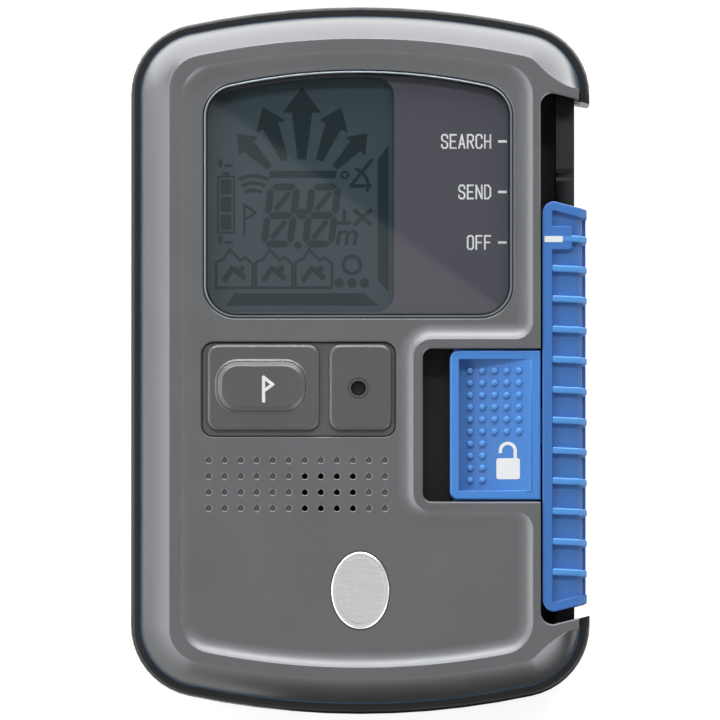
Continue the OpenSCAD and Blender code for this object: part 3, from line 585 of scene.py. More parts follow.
def recess_outline(grow):
    """The lock button's recess, which opens into the slot."""
    x0, x1, r = RECESS_X - grow, SLOT_X + 1, 1.5 + grow
    y0, y1 = LOCK_Y - RECESS_HALF - grow, LOCK_Y + RECESS_HALF + grow
    return [(x1, y0), (x1, y1), (x0 + r, y1), (x0 + r, y1 - r, 90), (x0, y0 + r), (x0 + r, y0 + r, 90)]


def crowned(x0, x1, y0, centre, crown, upper, lower):
    """A rectangle whose upper edge is an arc round a centre, with these upper and lower corner radii."""
    cx, cy = centre
    right, left = x1 - upper - cx, x0 + upper - cx
    rise, fall = (math.sqrt((crown - upper) ** 2 - x * x) for x in (right, left))
    first, last = math.degrees(math.atan2(rise, right)), math.degrees(math.atan2(fall, left))
    return [(x1, y0 + lower), (x1, cy + rise), (x1 - upper, cy + rise, first), (cx, cy, last - first),
            (x0 + upper, cy + fall, 180 - last), (x0, y0 + lower), (x0 + lower, y0 + lower, 90),
            (x1 - lower, y0), (x1 - lower, y0 + lower, 90)]


WINDOW_CENTRE = ((WINDOW[0].x + WINDOW[1].x) / 2, WINDOW[1].y - WINDOW_CROWN)


def window_outline(inset):
    """The window, whose upper edge is crowned."""
    r = WINDOW_CORNER - inset
    return crowned(WINDOW[0].x + inset, WINDOW[1].x - inset, WINDOW[0].y + inset, WINDOW_CENTRE,
                   WINDOW_CROWN - inset, r, r)


def view_outline(grow):
    """The part of the display that shows beside the print."""
    side, foot, r = 0.95 - grow, 0.35 - grow, 3.2 + grow
    return crowned(GLASS[0].x + side, GLASS[1].x - side, GLASS[0].y + foot, WINDOW_CENTRE,
                   WINDOW_CROWN - 1.1 + grow, r, r)


def key_outline(grow):
    """The marking key, grown all round."""
    w, h = KEY_W / 2 + grow, KEY_H / 2 + grow
    return rect(KEY_X - w, KEY_Y - h, KEY_X + w, KEY_Y + h, 3.4 + grow)


# ---------------------------------------------------------------- front housing

def run_out(piece):
    """Bends the sloped band at the right corners into an S, so that the ridge runs out to the slot's ends."""
    y0, reach = crown_corner(CORNER_X, CROWN_R, CORNER_R)[0], 62
    lip, band = 1.95, 4.7
    left = {}
    for vertex in piece.data.vertices:
        level = round(vertex.co.z, 6)
        left[level] = min(left.get(level, 0), vertex.co.x / MM)
    for vertex in piece.data.vertices:
        x, y, z = vertex.co / MM
        inset = HALF_W + left[round(vertex.co.z, 6)]
        side = abs(y) / (1 + END_STRETCH * (inset - RIM_INSET)) - y0
        angle = math.degrees(math.atan2(max(side, 0), x - CORNER_X))
        if z < JOINT_Z + 0.6 or x < CORNER_X or angle > reach:
            continue
        t = 1 - angle / reach
        bow = 0.8 * (1 - (1 - t) ** 2) + 0.2 * t
        run = Vector((RUN_START[0] + RUN_REACH[0] * t, RUN_START[1] - RUN_REACH[1] * bow))
        swing, r = math.radians(angle), CORNER_R - lip
        outer = Vector((CORNER_X + r * math.cos(swing), y0 + r * math.sin(swing)))
        place = outer + (run - outer) * (inset - lip) / band
        vertex.co.x = place.x * MM
        vertex.co.y = math.copysign(place.y * MM, y)


def front_cavity():
    """The room inside the front housing, less the walls and posts that stand in it."""
    room = solid("room", SKIRT_Z - 1.8, outline(3.6), (0, 4.8), (4.65, PLATE_Z - SKIRT_Z - 3))
    low, high = recess_walls()
    posts = [rod("post", x, y, SKIRT_Z - 0.8, 3, 10) for x, y in BOSSES]
    cut(room, block("wall", (SLOT_X - 1.6, -HALF_L, 0), (HALF_W, HALF_L, 30)),
        block("lock wall", (RECESS_X - RECESS_WALL, low, RECESS_Z - 1.6), (SLOT_X, high, 30)),
        block("channel", (LOCK_X - 0.5, LOCK_Y - 3.7, CHANNEL_Z - 1.1), (SLOT_X, LOCK_Y + 3.7, 30)),
        joined(*posts),
        solid("ledge", WINDOW[0].z - 0.85, window_outline(-1.2), (0, 4)))
    return room


def front_housing(settings):
    """The skirt, sloped band, ridge and dished panel, with all that is let into them."""
    piece = solid("front_shell", SKIRT_Z, outline(RIM_INSET), (0, 4), (0.15, 0.5), (0.7, 1.5), (0.95, 1.35),
                  (1.3, 1.5), (1.4, 1.2), (0.35, 0.15), stretch=END_STRETCH)
    run_out(piece)
    (x0, y0, _), (x1, y1, _) = KEYPAD
    cut(piece, front_cavity(),
        block("display room", (GLASS[0].x - 1.25, GLASS[0].y - 1.25, SKIRT_Z - 1),
              (GLASS[1].x + 1.25, GLASS[1].y + 1.25, WINDOW[0].z - 0.85)),
        solid("dish", RIDGE_Z + 0.5, dish_outline(), (0, -0.5), (0.12, -0.06), (0.22, -0.16), (0.35, -0.2),
              (0.5, -0.19), (0.55, -0.14), (0.55, -0.09), (0.55, -0.06)),
        solid("slot", RIDGE_Z + 1, slot_outline(CHAMFER), (0, -1), (CHAMFER, -CHAMFER),
              (0, SLOT_FLOOR + CHAMFER - RIDGE_Z)),
        open_side(),
        solid("recess", RIDGE_Z + 1, recess_outline(CHAMFER), (0, -1), (CHAMFER, -CHAMFER),
              (0, RECESS_Z + CHAMFER - RIDGE_Z)),
        block("tongue groove", (RECESS_X + 0.6, LOCK_Y - RECESS_HALF - 0.8, RECESS_Z + 0.6),
              (SLOT_X + 1, LOCK_Y + RECESS_HALF + 0.8, RECESS_Z + 1.7)),
        block("spring channel", (LOCK_X + 0.7, LOCK_Y - 2.5, CHANNEL_Z),
              (LOCK_X + 13.2, LOCK_Y + 2.5, RECESS_Z + 1)))
    cut(piece,
        solid("window recess", RIDGE_Z, window_outline(-0.3), (0, DISH_Z - RIDGE_Z), (0.2, -0.2),
              (0, WINDOW[0].z + 0.05 - DISH_Z)),
        solid("window opening", RIDGE_Z, window_outline(0.6), (0, -5)),
        solid("keypad recess", RIDGE_Z, rect(x0 - 0.2, y0 - 0.2, x1 + 0.2, y1 + 0.2, 2.1),
              (0, DISH_Z - RIDGE_Z), (0.2, -0.2), (0, KEYPAD_Z + 0.2 - DISH_Z)),
        solid("key hole", RIDGE_Z, key_outline(0.5), (0, -5)),
        rod("lamp hole", LAMP_X, LAMP_Y, PLATE_Z - 1, 1.45, 4),
        oval("badge seat", BADGE[0].z - BADGE_SEAT, 0.2, (0, 2)),
        grille(settings.housing.grille_hole / MM))
    finished(smooth(piece), finish("housing_grey"), nodes=["front_housing"])
    piece.data.materials.append(finish("inside_dark"))
    for face in piece.data.polygons:
        face.material_index = int(takes_dark_finish(face))


def takes_dark_finish(face):
    """Whether a face of the front housing takes the dark finish: below the joint, or deep in a recess."""
    z, upright = face.center.z / MM, face.normal.z
    return z < DISH_Z - 0.6 and (z < JOINT_Z + 0.1 or upright < 0.02 or upright > 0.98)


def open_side():
    """What the slot takes from the housing's side, down to the rail."""
    side = solid("side", SKIRT_Z - 1, slot_outline(0), (0, 8))
    return cut(side, block("keep", (0, -HALF_L, 0), (RAIL_X - 0.1, HALF_L, 40)))


def grille(radius):
    """Holes of the sound grille. Those over the speaker go through."""
    deep, shallow = [], []
    for column in range(GRILLE_COLUMNS):
        for row in range(GRILLE_ROWS):
            through = 6 <= column <= 9 and row > 0
            place = (column * GRILLE_PITCH + GRILLE_X, GRILLE_Y - row * GRILLE_PITCH, 0)
            (deep if through else shallow).append(place)
    mouth = [(0, -0.5), (0.13, -0.1)]
    top = RIDGE_Z - 0.4
    return joined(copies(solid("deep", top, circle(0, 0, radius), *mouth, (0, -3)), deep),
                  copies(solid("blind", top, circle(0, 0, radius), *mouth, (0.02, -0.49)), shallow))


# ---------------------------------------------------------------- window and display

def window(settings):
    """The window, its polished edge as an opaque grey ring whose colour is a painted reflection, the print
    behind it and the switch's labels.
    """
    z0 = WINDOW[0].z
    thick = WINDOW[1].z - z0
    lens = solid("window_glass", z0, window_outline(0.02), (0, thick - 0.34), (0.42, 0), (0, 0.34))
    finished(smooth(lens, 20), finish("window"), nodes=["window_lens"])

    # painted reflection: the clear window's polished edge is made as an opaque grey, half-metallic ring
    rim = solid("window_edge", z0 + thick - 0.36, window_outline(0.02), (0, 0.08), (0.05, 0.12), (0.1, 0.1),
                (0.2, 0.05))
    cut(rim, solid("inside", z0, window_outline(0.42), (0, thick + 1)))
    finished(smooth(rim), finish("window_edge"))

    sheet = solid("window_print", z0 - 0.1, window_outline(0.75), (0, 0.09))
    cut(sheet, solid("view", z0 - 1, view_outline(0), (0, 2)))
    finished(smooth(sheet), finish("window_print"))
    window_labels(settings.display.letter_height / MM, settings.display.letter_stroke / MM)


def window_labels(tall, stroke):
    """Generic names of the switch's three places, right-aligned, each with a dash."""
    edge, wide, pitch = WINDOW[1].x - 3.6, 0.92, 1.43
    first, step = SLIDER[1].y + 10.04, 8.42
    ink = Ink("switch_labels", WINDOW[0].z - 0.01, 0.005)
    for k, word in enumerate(("SEARCH", "SEND", "OFF")):
        y = first - k * step
        for place, letter in enumerate(reversed(word)):
            x = edge - wide - stroke / 2 - place * pitch
            for line in LETTERS[letter]:
                ink.line([(x + wide * px, y + tall * (py - 1) / 2) for px, py in line], stroke)
        ink.draw(*rect(edge + 1.15, y - 0.2, edge + 2.6, y + 0.2))
    finished(smooth(ink.piece()), finish("white_print"))


# Strokes of the letters that the labels need, on a grid one wide and two high
LETTERS = {
    "A": [[(0, 0), (0.5, 2), (1, 0)], [(0.17, 0.6), (0.83, 0.6)]],
    "C": [[(1, 1.5), (1, 1.75), (0.75, 2), (0.25, 2), (0, 1.75), (0, 0.25), (0.25, 0), (0.75, 0), (1, 0.25),
           (1, 0.5)]],
    "D": [[(0, 0), (0, 2), (0.6, 2), (1, 1.6), (1, 0.4), (0.6, 0), (0, 0)]],
    "E": [[(1, 2), (0, 2), (0, 0), (1, 0)], [(0, 1), (0.85, 1)]],
    "F": [[(0, 0), (0, 2), (1, 2)], [(0, 1), (0.85, 1)]],
    "H": [[(0, 0), (0, 2)], [(1, 0), (1, 2)], [(0, 1), (1, 1)]],
    "N": [[(0, 0), (0, 2), (1, 0), (1, 2)]],
    "O": [[(0.25, 0), (0, 0.25), (0, 1.75), (0.25, 2), (0.75, 2), (1, 1.75), (1, 0.25), (0.75, 0),
           (0.25, 0)]],
    "R": [[(0, 0), (0, 2), (0.7, 2), (1, 1.75), (1, 1.25), (0.7, 1), (0, 1)], [(0.5, 1), (1, 0)]],
    "S": [[(1, 1.5), (1, 1.75), (0.75, 2), (0.25, 2), (0, 1.75), (0, 1.35), (0.2, 1.1), (0.8, 0.9), (1, 0.65),
           (1, 0.25), (0.75, 0), (0.25, 0), (0, 0.25), (0, 0.5)]],
}


def lettering(word, x, y, z, width, height):
    """A word as a thin solid, drawn to a width and height."""
    release()
    bpy.ops.object.text_add()
    bpy.context.object.data.body = word
    bpy.context.object.data.extrude = 0.1
    bpy.context.object.data.offset = 0.012
    bpy.ops.object.convert(target="MESH")
    piece = bpy.context.object
    low = Vector(min(v.co[i] for v in piece.data.vertices) for i in range(3))
    high = Vector(max(v.co[i] for v in piece.data.vertices) for i in range(3))
    reach, thick = high - low, 0.005
    scale = Matrix.Diagonal((width / reach.x, height / reach.y, thick / reach.z, 1))
    place = Matrix.Translation(Vector((x, y, z)) * MM) @ Matrix.Scale(MM, 4)
    piece.data.transform(place @ scale @ Matrix.Translation(-low))
    bpy.ops.object.mode_set(mode="EDIT")
    return close_up(piece)


def lean(piece, y0, degrees):
    """Slants a piece to the right above a height."""
    for vertex in piece.data.vertices:
        vertex.co.x += (vertex.co.y - y0 * MM) * math.tan(math.radians(degrees))
    return piece


class Ink:
    """Flat marks that are printed or shown on one level, joined into one piece."""

    def __init__(self, name, z, thick=0.03):
        self.name, self.z, self.thick, self.made = name, z, thick, []

    def draw(self, *path):
        """Adds a mark. Neighbours differ a little in height, so that none of their tops coincide."""
        step = len(self.made) % 8 * 0.003
        self.made.append(solid("mark", self.z, list(path), (0, self.thick + step)))
        return self.made[-1]

    def line(self, points, width):
        """Straight strokes from point to point, each a little longer so that they meet at the corners."""
        for a, b in zip(points, points[1:]):
            a, b = Vector(a), Vector(b)
            more = (b - a).normalized() * width * 0.4
            self.draw(*bar(*(a - more), *(b + more), width))

    def piece(self):
        """All marks as one piece."""
        piece = joined(*self.made)
        piece.name = self.name
        return piece


def fan_arrow(ink, x, y, degrees, reach, foot, size):
    """An arrow that points away from a centre."""
    turn = Matrix.Rotation(math.radians(degrees), 2)
    neck = reach - 4.2 * size
    half = [(0.72 * size, foot), (1.7 * size, neck), (3.2 * size, neck), (0, reach)]
    path = half + [(-px, py) for px, py in half[2::-1]]
    ink.draw(*[tuple(Vector((x, y)) + turn @ Vector(p)) for p in path])


def segment(ink, x0, y0, x1, y1, width):
    """One bar of a digit, with pointed ends."""
    a, b = Vector((x0, y0)), Vector((x1, y1))
    along = (b - a).normalized() * width / 2
    side = Vector((-along.y, along.x))
    return ink.draw(*[tuple(p) for p in (
        a + along - side, b - along - side, b, b - along + side, a + along + side, a)])


def digit(ink, x, y):
    """A leaning digit of straight bars, with a slash in each half."""
    w, h, thick, gap, slant = 4.3, 4.75, 1.15, 0.15, 7
    for k in range(3):
        lean(segment(ink, x + gap, y + k * h, x + w - gap, y + k * h, thick), y, slant)
    for side in (0, w):
        for k in (0, 1):
            lean(segment(ink, x + side, y + k * h + gap, x + side, y + (k + 1) * h - gap, thick), y, slant)
    for foot in (y, y + h):
        lean(ink.draw(*bar(x + 1.2, foot + 0.9, x + w - 1.2, foot + h - 0.9, 0.9)), y, slant)


def house(ink, x, y):
    """A small house-shaped box with a ridge line in it."""
    w, h, t = 6.1, 6.4, 0.42
    ink.line([(x, y), (x + w, y), (x + w, y + h * 0.62), (x + w * 0.78, y + h * 0.8),
              (x + w * 0.66, y + h * 0.7), (x + w * 0.38, y + h), (x + w * 0.2, y + h * 0.74),
              (x, y + h * 0.66), (x, y)], t)
    ink.draw(*bar(x + w * 0.2, y + 1.1, x + w * 0.48, y + h * 0.55, 0.9))
    ink.draw(*bar(x + w * 0.48, y + h * 0.5, x + w * 0.8, y + 1.5, 0.9))
    ink.draw(*circle(x + w * 0.7, y + h * 0.5, 0.5))


def battery_gauge(ink, x, y):
    """An upright gauge with three bars, a cap, and a sign at either end."""
    w, h, pitch = 2.7, 9.3, 2.95
    ink.line([(x, y), (x + w, y), (x + w, y + h), (x, y + h), (x, y)], 0.32)
    for k in range(3):
        ink.draw(*rect(x + 0.45, y + 0.5 + k * pitch, x + w - 0.45, y + pitch + k * pitch))
    ink.draw(*rect(x + 0.8, y + 9.5, x + 1.9, y + 10.1))
    for end in (y + 10.9, y - 1.9):
        ink.draw(*rect(x + 0.1, end, x + 0.7, end + 1.3))
        ink.draw(*rect(x + 1.2, end, x + 2.5, end + 0.5))


def small_signs(ink, x, y):
    """Signs beside the digits: an angle with a ring, a foot with a post, a cross and the unit."""
    ink.line([(x + 8.1, y + 2.6), (x + 11.6, y + 6.9)], 0.55)
    ink.line([(x + 8.1, y + 2.6), (x + 11.4, y + 2.6)], 0.55)
    ink.draw(*arch(x + 8.1, y + 2.6, 2.9, 0.55, -20, 95))
    ink.draw(*arch(x + 7.1, y + 4.4, 0.55, 0.35, 0, 359))
    ink.draw(*rect(x + 5.9, y - 3.9, x + 8.2, y - 3.3))
    ink.draw(*rect(x + 6.75, y - 3.9, x + 7.35, y - 1.4))
    ink.line([(x + 8.8, y - 3.8), (x + 11.4, y - 1.5)], 0.65)
    ink.line([(x + 8.8, y - 1.5), (x + 11.4, y - 3.8)], 0.65)
    unit = lettering("m", x + 5.6, y - 7.3, ink.z, 3.4, 2.5)
    ink.made.append(lean(unit, y - 7.3, 10))


def display():
    """The display's symbols: generic arrows, digits, gauges and bars."""
    ink = Ink("display_symbols", GLASS[1].z + 0.01)
    cx, cy = (GLASS[0].x + GLASS[1].x) / 2 + 0.2, (GLASS[0].y + GLASS[1].y) / 2 - 1.1
    for side, reach, foot, size in ((0, 19, 7, 1), (22.6, 17, 7.4, 0.82), (44, 15.7, 7.8, 0.7)):
        for turn in {side, -side}:
            fan_arrow(ink, cx, cy, turn, reach, foot, size)
    digit(ink, cx - 6.3, cy - 7.1)
    digit(ink, cx + 0.55, cy - 7.1)
    ink.draw(*circle(cx - 0.1, cy - 2.1, 0.9))
    ink.draw(*circle(cx - 0.7, cy - 7.3, 0.62))
    # a plain leaning bar over the digits
    lean(ink.draw(*rect(cx - 5.6, cy + 3.9, cx + 5.6, cy + 5.1, 0.3)), cy + 4, 12)
    battery_gauge(ink, cx - 14, cy - 5.2)
    # signal arcs and a flag
    for r in (2.6, 3.8, 5):
        ink.draw(*arch(cx - 8.1, cy - 0.75, r, 0.55, 60, 60))
    ink.line([(cx - 9.6, cy - 5.4), (cx - 9.6, cy - 0.6), (cx - 7.7, cy - 1.9), (cx - 9.6, cy - 3.1)], 0.42)
    small_signs(ink, cx, cy)
    # bars along the right and the lower side
    ink.draw((cx + 12.6, cy - 13.1), (cx + 14.4, cy - 15.1), (cx + 14.4, cy + 9.4), (cx + 12.6, cy + 6.9))
    ink.draw((cx - 12.5, cy - 17.3), (cx + 12.8, cy - 17.3), (cx + 10.3, cy - 15.3), (cx - 11.3, cy - 15.3))
    # houses and dots along the foot, and a ring above the dots
    for k in range(3):
        house(ink, cx - 14.3 + k * 6.6, cy - 14.4)
        ink.draw(*circle(cx + 6.2 + k * 2.1, cy - 13.6, 0.82))
    ink.draw(*arch(cx + 8.3, cy - 10.6, 1.45, 0.6, 0, 359))
    finished(smooth(ink.piece()), finish("display_ink"))


# ---------------------------------------------------------------- keypad, badge

def keypad():
    """The keypad plate with its two pads, the marking key and the key's sign."""
    (x0, y0, z0), (x1, y1, z1) = KEYPAD
    base = solid("keypad_pads", z0, rect(x0 + 0.1, y0 + 0.1, x1 - 0.1, y1 - 0.1, 1.8), (0, 0.3), (0.12, 0.1))
    groove = LAMP_X - 5.8
    edge = [(0, z1 - z0 - 0.62), (0.12, 0.22), (0.18, 0.16), (0.22, 0.1), (0.2, 0.02)]
    weld(base, solid("left pad", z0 + 0.2, rect(x0 + 0.85, y0 + 1.0, groove - 0.65, y1 - 0.3, 2), *edge),
         solid("right pad", z0 + 0.2, rect(groove + 0.85, y0 + 1.0, x1 - 0.6, y1 - 0.3, 2), *edge),
         solid("collar", z1 - 0.3, key_outline(0.62), (0, 0.32), (0.2, 0.08), (0.2, 0.09), (0.13, 0.06)))
    cut(base, solid("key room", z1 + 1, key_outline(0.07), (0, -4)),
        solid("lamp room", z1 + 0.3, circle(LAMP_X, LAMP_Y, 1.8), (0, -0.38), (0.2, 0), (0.1, 0.12),
              (0.16, 0), (0.14, -0.2), (0, -2)))
    finished(smooth(base), finish("keypad_grey"), nodes=["keypad_frame"])

    top = RIDGE_Z - 0.15
    rise = top - z1
    key = solid("marking_key", PLATE_Z - 1, key_outline(0), (0, z1 - PLATE_Z + 1 + rise * 0.36),
                (0.25, rise * 0.2), (0.25, rise * 0.2), (0.2, rise * 0.15), (0.15, rise * 0.09))
    foot_x, foot_y = 8.5, 5.1
    weld(key, solid("foot", PLATE_Z - 1.1,
                    rect(KEY_X - foot_x, KEY_Y - foot_y, KEY_X + foot_x, KEY_Y + foot_y, 1), (0, 0.95)))
    finished(smooth(key), finish("keypad_grey"), "key", ["marking_button"])

    flag = Ink("key_sign", top, 0.02)
    pole, high = KEY_X + 0.38, KEY_Y + 1.5
    flag.line([(pole, high - 4), (pole, high), (pole + 1.5, high - 1.2), (pole, high - 2.3)], 0.52)
    finished(smooth(flag.piece()), finish("white_print"), "key")


def oval(name, z, grow, *steps):
    """A solid on the badge's outline."""
    (x0, y0, _), (x1, y1, _) = BADGE
    piece = solid(name, z, circle(0, 0, (x1 - x0) / 2 + grow), *steps)
    centre = Vector(((x0 + x1) / 2, (y0 + y1) / 2, 0)) * MM
    piece.data.transform(Matrix.Translation(centre) @ Matrix.Diagonal((1, (y1 - y0) / (x1 - x0), 1, 1)))
    return piece


def badge():
    """A plain oval plate with a turned-down edge and a shallow dish."""
    thick = BADGE[1].z - BADGE[0].z
    piece = oval("name_place", BADGE[0].z - BADGE_SEAT, 0, (0, thick + BADGE_SEAT - 0.16), (0.16, 0.12),
                 (0.2, 0.04), (0.35, 0), (0.1, -0.03))
    finished(smooth(piece, 20), finish("bright_badge"), nodes=["name_plate"])


# ---------------------------------------------------------------- slide switch and lock

def slider_section():
    """The slide switch across its length: plate, bevelled edge, side wall and inward lip."""
    x0, x1, top = SLIDER[0].x, SLIDER[1].x, SLIDER_TOP
    wall, lip = x1 - 2.05, SLIDER[0].z
    return [(x0, top - 2.5), (wall + 0.4, top - 2.5), (wall + 0.4, lip + 1.9), (wall - 0.9, lip + 1.9),
            (wall - 0.9, lip), (x1 - 0.3, lip), (x1, lip + 0.3), (x1, top - 1.3), (x1 - 1.3, top), (x0, top)]


def slider_groove(depth, grow):
    """What the pockets take from the section, over the plate, the bevel and the side wall."""
    x0, x1, top, foot = SLIDER[0].x + 1.6, SLIDER[1].x, SLIDER_TOP, SLIDER[0].z + 2.7
    return [(x0, top + grow), (x0, top - depth), (x1 - 1.3 - 0.4 * depth, top - depth),
            (x1 - depth, top - 1.3 - 0.4 * depth), (x1 - depth, foot), (x1 + grow, foot),
            (x1 + grow, top - 1.3), (x1 - 1.3, top + grow)]


def ribs(width, first):
    """Ribs across the slide switch, which curve over its bevel and down its side."""
    rib = soften(rail("rib", slider_groove(1.1, 0), -width / 2, width / 2), 0.26, 3)
    for vertex in rib.data.vertices:
        vertex.co.y -= max(vertex.co.x - (SLIDER[1].x - 3) * MM, 0) * 0.12
    made = copies(rib, [(0, first - k * RIB_PITCH, 0) for k in range(RIBS)])
    made.name = "slide_ribs"
    finished(smooth(made), finish("grip_blue"), "slider")


def mode_slider(settings):
    """The slide switch with its pockets, ribs, pointer, magnet room and notches for the lock."""
    (x0, y0, _), (_, y1, _) = SLIDER
    right, slant, r, border = x0 + 9.7, 8 * SLANT, 2, 1.5
    first = y1 - 6.1
    piece = rail("slide_switch", slider_section(), y0 - 1, y1 + 1)
    plan = solid("plan", 0, [(right, y0 + slant), (right, y1 - slant), (x0 + r, y1), (x0 + r, y1 - r, 90),
                             (x0, y0 + r), (x0 + r, y0 + r, 90)], (0, 40))
    combine(piece, "INTERSECT", plan)
    soften(piece, 0.3, 3)
    hollow = rail("hollow", slider_groove(0.8, 1.5), y0, y1)
    combine(hollow, "INTERSECT", solid("plan", 0, [
        (right, y0 + slant + border), (right, y1 - slant - border), (x0 + r, y1 - border), (x0, y1 - border),
        (x0, y0 + border), (x0 + r, y0 + border)], (0, 40)))
    cut(piece, soften(hollow, 0.18, 2))
    ribs(settings.switches.rib_width / MM, first)
    pad = solid("pad", SLIDER_TOP - 1.2, rect(x0 + 1.2, first - 2, x0 + 4.95, first + 2, 0.5), (0, 1),
                (0.08, 0.14), (0.14, 0.05))
    weld(piece, pad,
         block("key", (x0 + 0.3, y0 + 4, SLOT_FLOOR + 0.9), (x0 + 1.9, y1 - 4, SLIDER_TOP - 2)))
    low, high = box("slider_magnet")
    cut(piece,
        rod("magnet room", low.x, (low.y + high.y) / 2, (low.z + high.z) / 2, 1.8, high.x - low.x, "X"),
        copies(block("notch", (x0 - 1, LOCK_Y - 3.3, SLIDER_TOP - 4.1),
                     (x0 + 1.1, LOCK_Y + 3.3, SLIDER_TOP - 2.5)), [(0, -k * MODE_STEP, 0) for k in range(3)]))
    finished(smooth(piece), finish("slider_blue"), "slider", ["mode_slider"])
    pointer = solid("switch_pointer", SLIDER_TOP - 0.02,
                    rect(x0 + 0.35, first - 0.7, x0 + 3.4, first + 0.3, 0.15), (0, 0.03))
    finished(smooth(pointer), finish("white_print"), "slider")


def lock_button(settings):
    """The lock button with its ramp, tongue, leg and catch, and the dots and sign on the ramp."""
    x0, x1, top, edge = LOCK_X, SLOT_X, LOCK[1].z, 1.5
    y0, y1 = LOCK_Y - LOCK_HALF, LOCK_Y + LOCK_HALF
    dip, foot = 1.9, RECESS_Z + 0.3
    low, high = x0 + 2 * edge, x1 - edge - 0.1
    slope = dip / (high - low)
    body = solid("lock_slide", foot, [(x1, y0), (x1, y1), (x0 + edge, y1), (x0 + edge, y1 - edge, 90),
                                      (x0, y0 + edge), (x0 + edge, y0 + edge, 90)],
                 (0, top - foot - 0.3), (0.1, 0.2), (0.22, 0.1))
    cut(body, rail("hollow", [(x0 + edge, top + 1), (x0 + edge, top - dip), (low, top - dip), (high, top),
                              (high, top + 1)], y0 + edge, y1 - edge))
    soften(body, 0.16, 2)
    radius = settings.switches.dot_radius / MM
    dot = solid("dot", top - dip - 0.5, circle(0, 0, radius), (0, 0.78), (0.1, 0.14), (0.2, 0.08))
    places = []
    for column in range(5):
        for row in range(10 if column < 2 else 6):
            x = x0 + 3.4 + column * DOT_PITCH
            places.append((x, y1 - 3.4 - row * DOT_PITCH, max(x - low, 0) * slope))
    dots = copies(dot, places)
    dots.name = "lock_dots"
    finished(smooth(dots), finish("grip_blue"), "lock")
    weld(body,
         block("tongue", (x0 + 0.6, y0 - 0.6, RECESS_Z + 0.85), (x1 - 0.6, y1 + 0.6, RECESS_Z + 1.45)),
         block("leg", (x0 + 11.4, LOCK_Y - 2, CHANNEL_Z + 0.3), (x0 + 13, LOCK_Y + 2, foot + 0.5)),
         block("catch", (x1 - 1, LOCK_Y - 3, foot + 0.5), (LOCK[1].x, LOCK_Y + 3, SLIDER_TOP - 2.75)))
    finished(smooth(body), finish("switch_blue"), "lock", ["lock_button"])

    piece = padlock(low + 4.75, y0 + 3.45, top - dip + 0.01)
    for vertex in piece.data.vertices:
        vertex.co.z += (vertex.co.x - low * MM) * slope
    finished(smooth(piece), finish("white_print"), "lock")


def padlock(x, y, z):
    """An open padlock: its body, the long leg of its bow, the bow and the short leg."""
    sign = Ink("lock_sign", z)
    sign.draw(*rect(x, y, x + 3.9, y + 3.5, 0.4))
    sign.draw(*rect(x + 2.85, y + 3.2, x + 3.4, y + 4.8))
    sign.draw(*arch(x + 1.9, y + 4.75, 1.23, 0.54, 0, 180))
    sign.draw(*rect(x + 0.4, y + 4.35, x + 0.94, y + 4.8))
    return sign.piece()


# ---------------------------------------------------------------- rear housing and battery bay

def rear_housing():
    """Rear housing, the seal in the joint, and the screws."""
    shell = refined("rear_housing", "rear_shell", 45)
    finished(shell, finish("housing_dark"), nodes=["rear_housing"])
    shell.data.materials.append(finish("rail_dark"))
    for face in shell.data.polygons:
        x, y, z = face.center / MM
        in_slot = x > RAIL_X - 1 and abs(y) < SLOT_HALF and z > SKIRT_Z - 1
        face.material_index = int(in_slot and face.normal.z > 0.2)
    for node, name, look in (("housing_seal", "joint_seal", "blue_seal"),
                             ("housing_screws", "back_screws", "steel")):
        finished(refined(node, name, 40), finish(look), nodes=[node])


def battery_cell(node, up):
    """A cell with a printed wrap, a steel end cap and a button."""
    low, high = box(node)
    x, z = (low.x + high.x) / 2, (low.z + high.z) / 2
    r, length = (high.x - low.x) / 2, high.y - low.y
    can = solid(node + "_can", 0, circle(0, 0, r - 0.9), (0, 0.01), (0, length - 1.2), (0.3, 0.19),
                (r - 3.9, 0), (0.02, 0.8), (0.25, 0.2))
    wrap = solid(node + "_wrap", 0.15, circle(0, 0, r - 0.45), (-0.4, 0.3), (0, length - 2.1), (0.45, 0.35),
                 (0.35, -0.1))
    for piece, look, nodes in ((can, "nickel", ()), (wrap, "cell_wrap", [node])):
        turned(piece, "X", -90 if up else 90)
        piece.data.transform(Matrix.Translation(Vector((x, low.y if up else high.y, z)) * MM))
        finished(smooth(piece), finish(look), nodes=nodes)


def battery_bay():
    """Cells, contacts, cover, hinge and screw."""
    for k, up in ((1, True), (2, False), (3, True)):
        battery_cell(f"battery_cell_{k}", up)
    for node, name, look, body in (
            ("contact_springs", "cell_springs", "nickel", "housing"),
            ("contact_plates", "cell_contacts", "nickel", "housing"),
            ("cover_hinge_pins", "hinge_pins", "steel", "housing"),
            ("cover_screw", "bay_screw", "steel", "screw"),
            ("cover_screw_nut", "bay_nut", "brass", "housing"),
            ("cover_seal", "bay_seal", "black_rubber", "cover")):
        finished(refined(node, name, 40), finish(look), body, [node])
    cover = refined("battery_cover", "bay_cover", 40)
    finished(cover, finish("black_plastic"), "cover", ["battery_cover"])


# ---------------------------------------------------------------- parts inside

KEPT = {
    "window_adhesive": "black_foam", "lcd_glass": "display", "lcd_frame": "black_plastic",
    "lcd_light_guide": "clear_plastic", "lcd_contact_strip": "strip_rubber", "main_board": "board_green",
    "processor_chip": "chip_black", "radio_module": "tinned_steel", "hall_sensors": "chip_black",
    "small_components": "ceramic_tan", "status_led": "clear_lamp", "button_switch": "tinned_steel",
    "speaker": "black_plastic", "speaker_mesh": "black_cloth", "antenna_x_rod": "ferrite",
    "antenna_y_rod": "ferrite", "antenna_z_core": "ferrite", "antenna_saddles": "saddle_grey",
    "slider_magnet": "magnet", "detent_spring": "spring_steel",
}
COILS = {"antenna_x_coil": ("long_winding", "copper_y"), "antenna_y_coil": ("cross_winding", "copper_x"),
         "antenna_z_coil": ("upright_winding", "copper_z")}


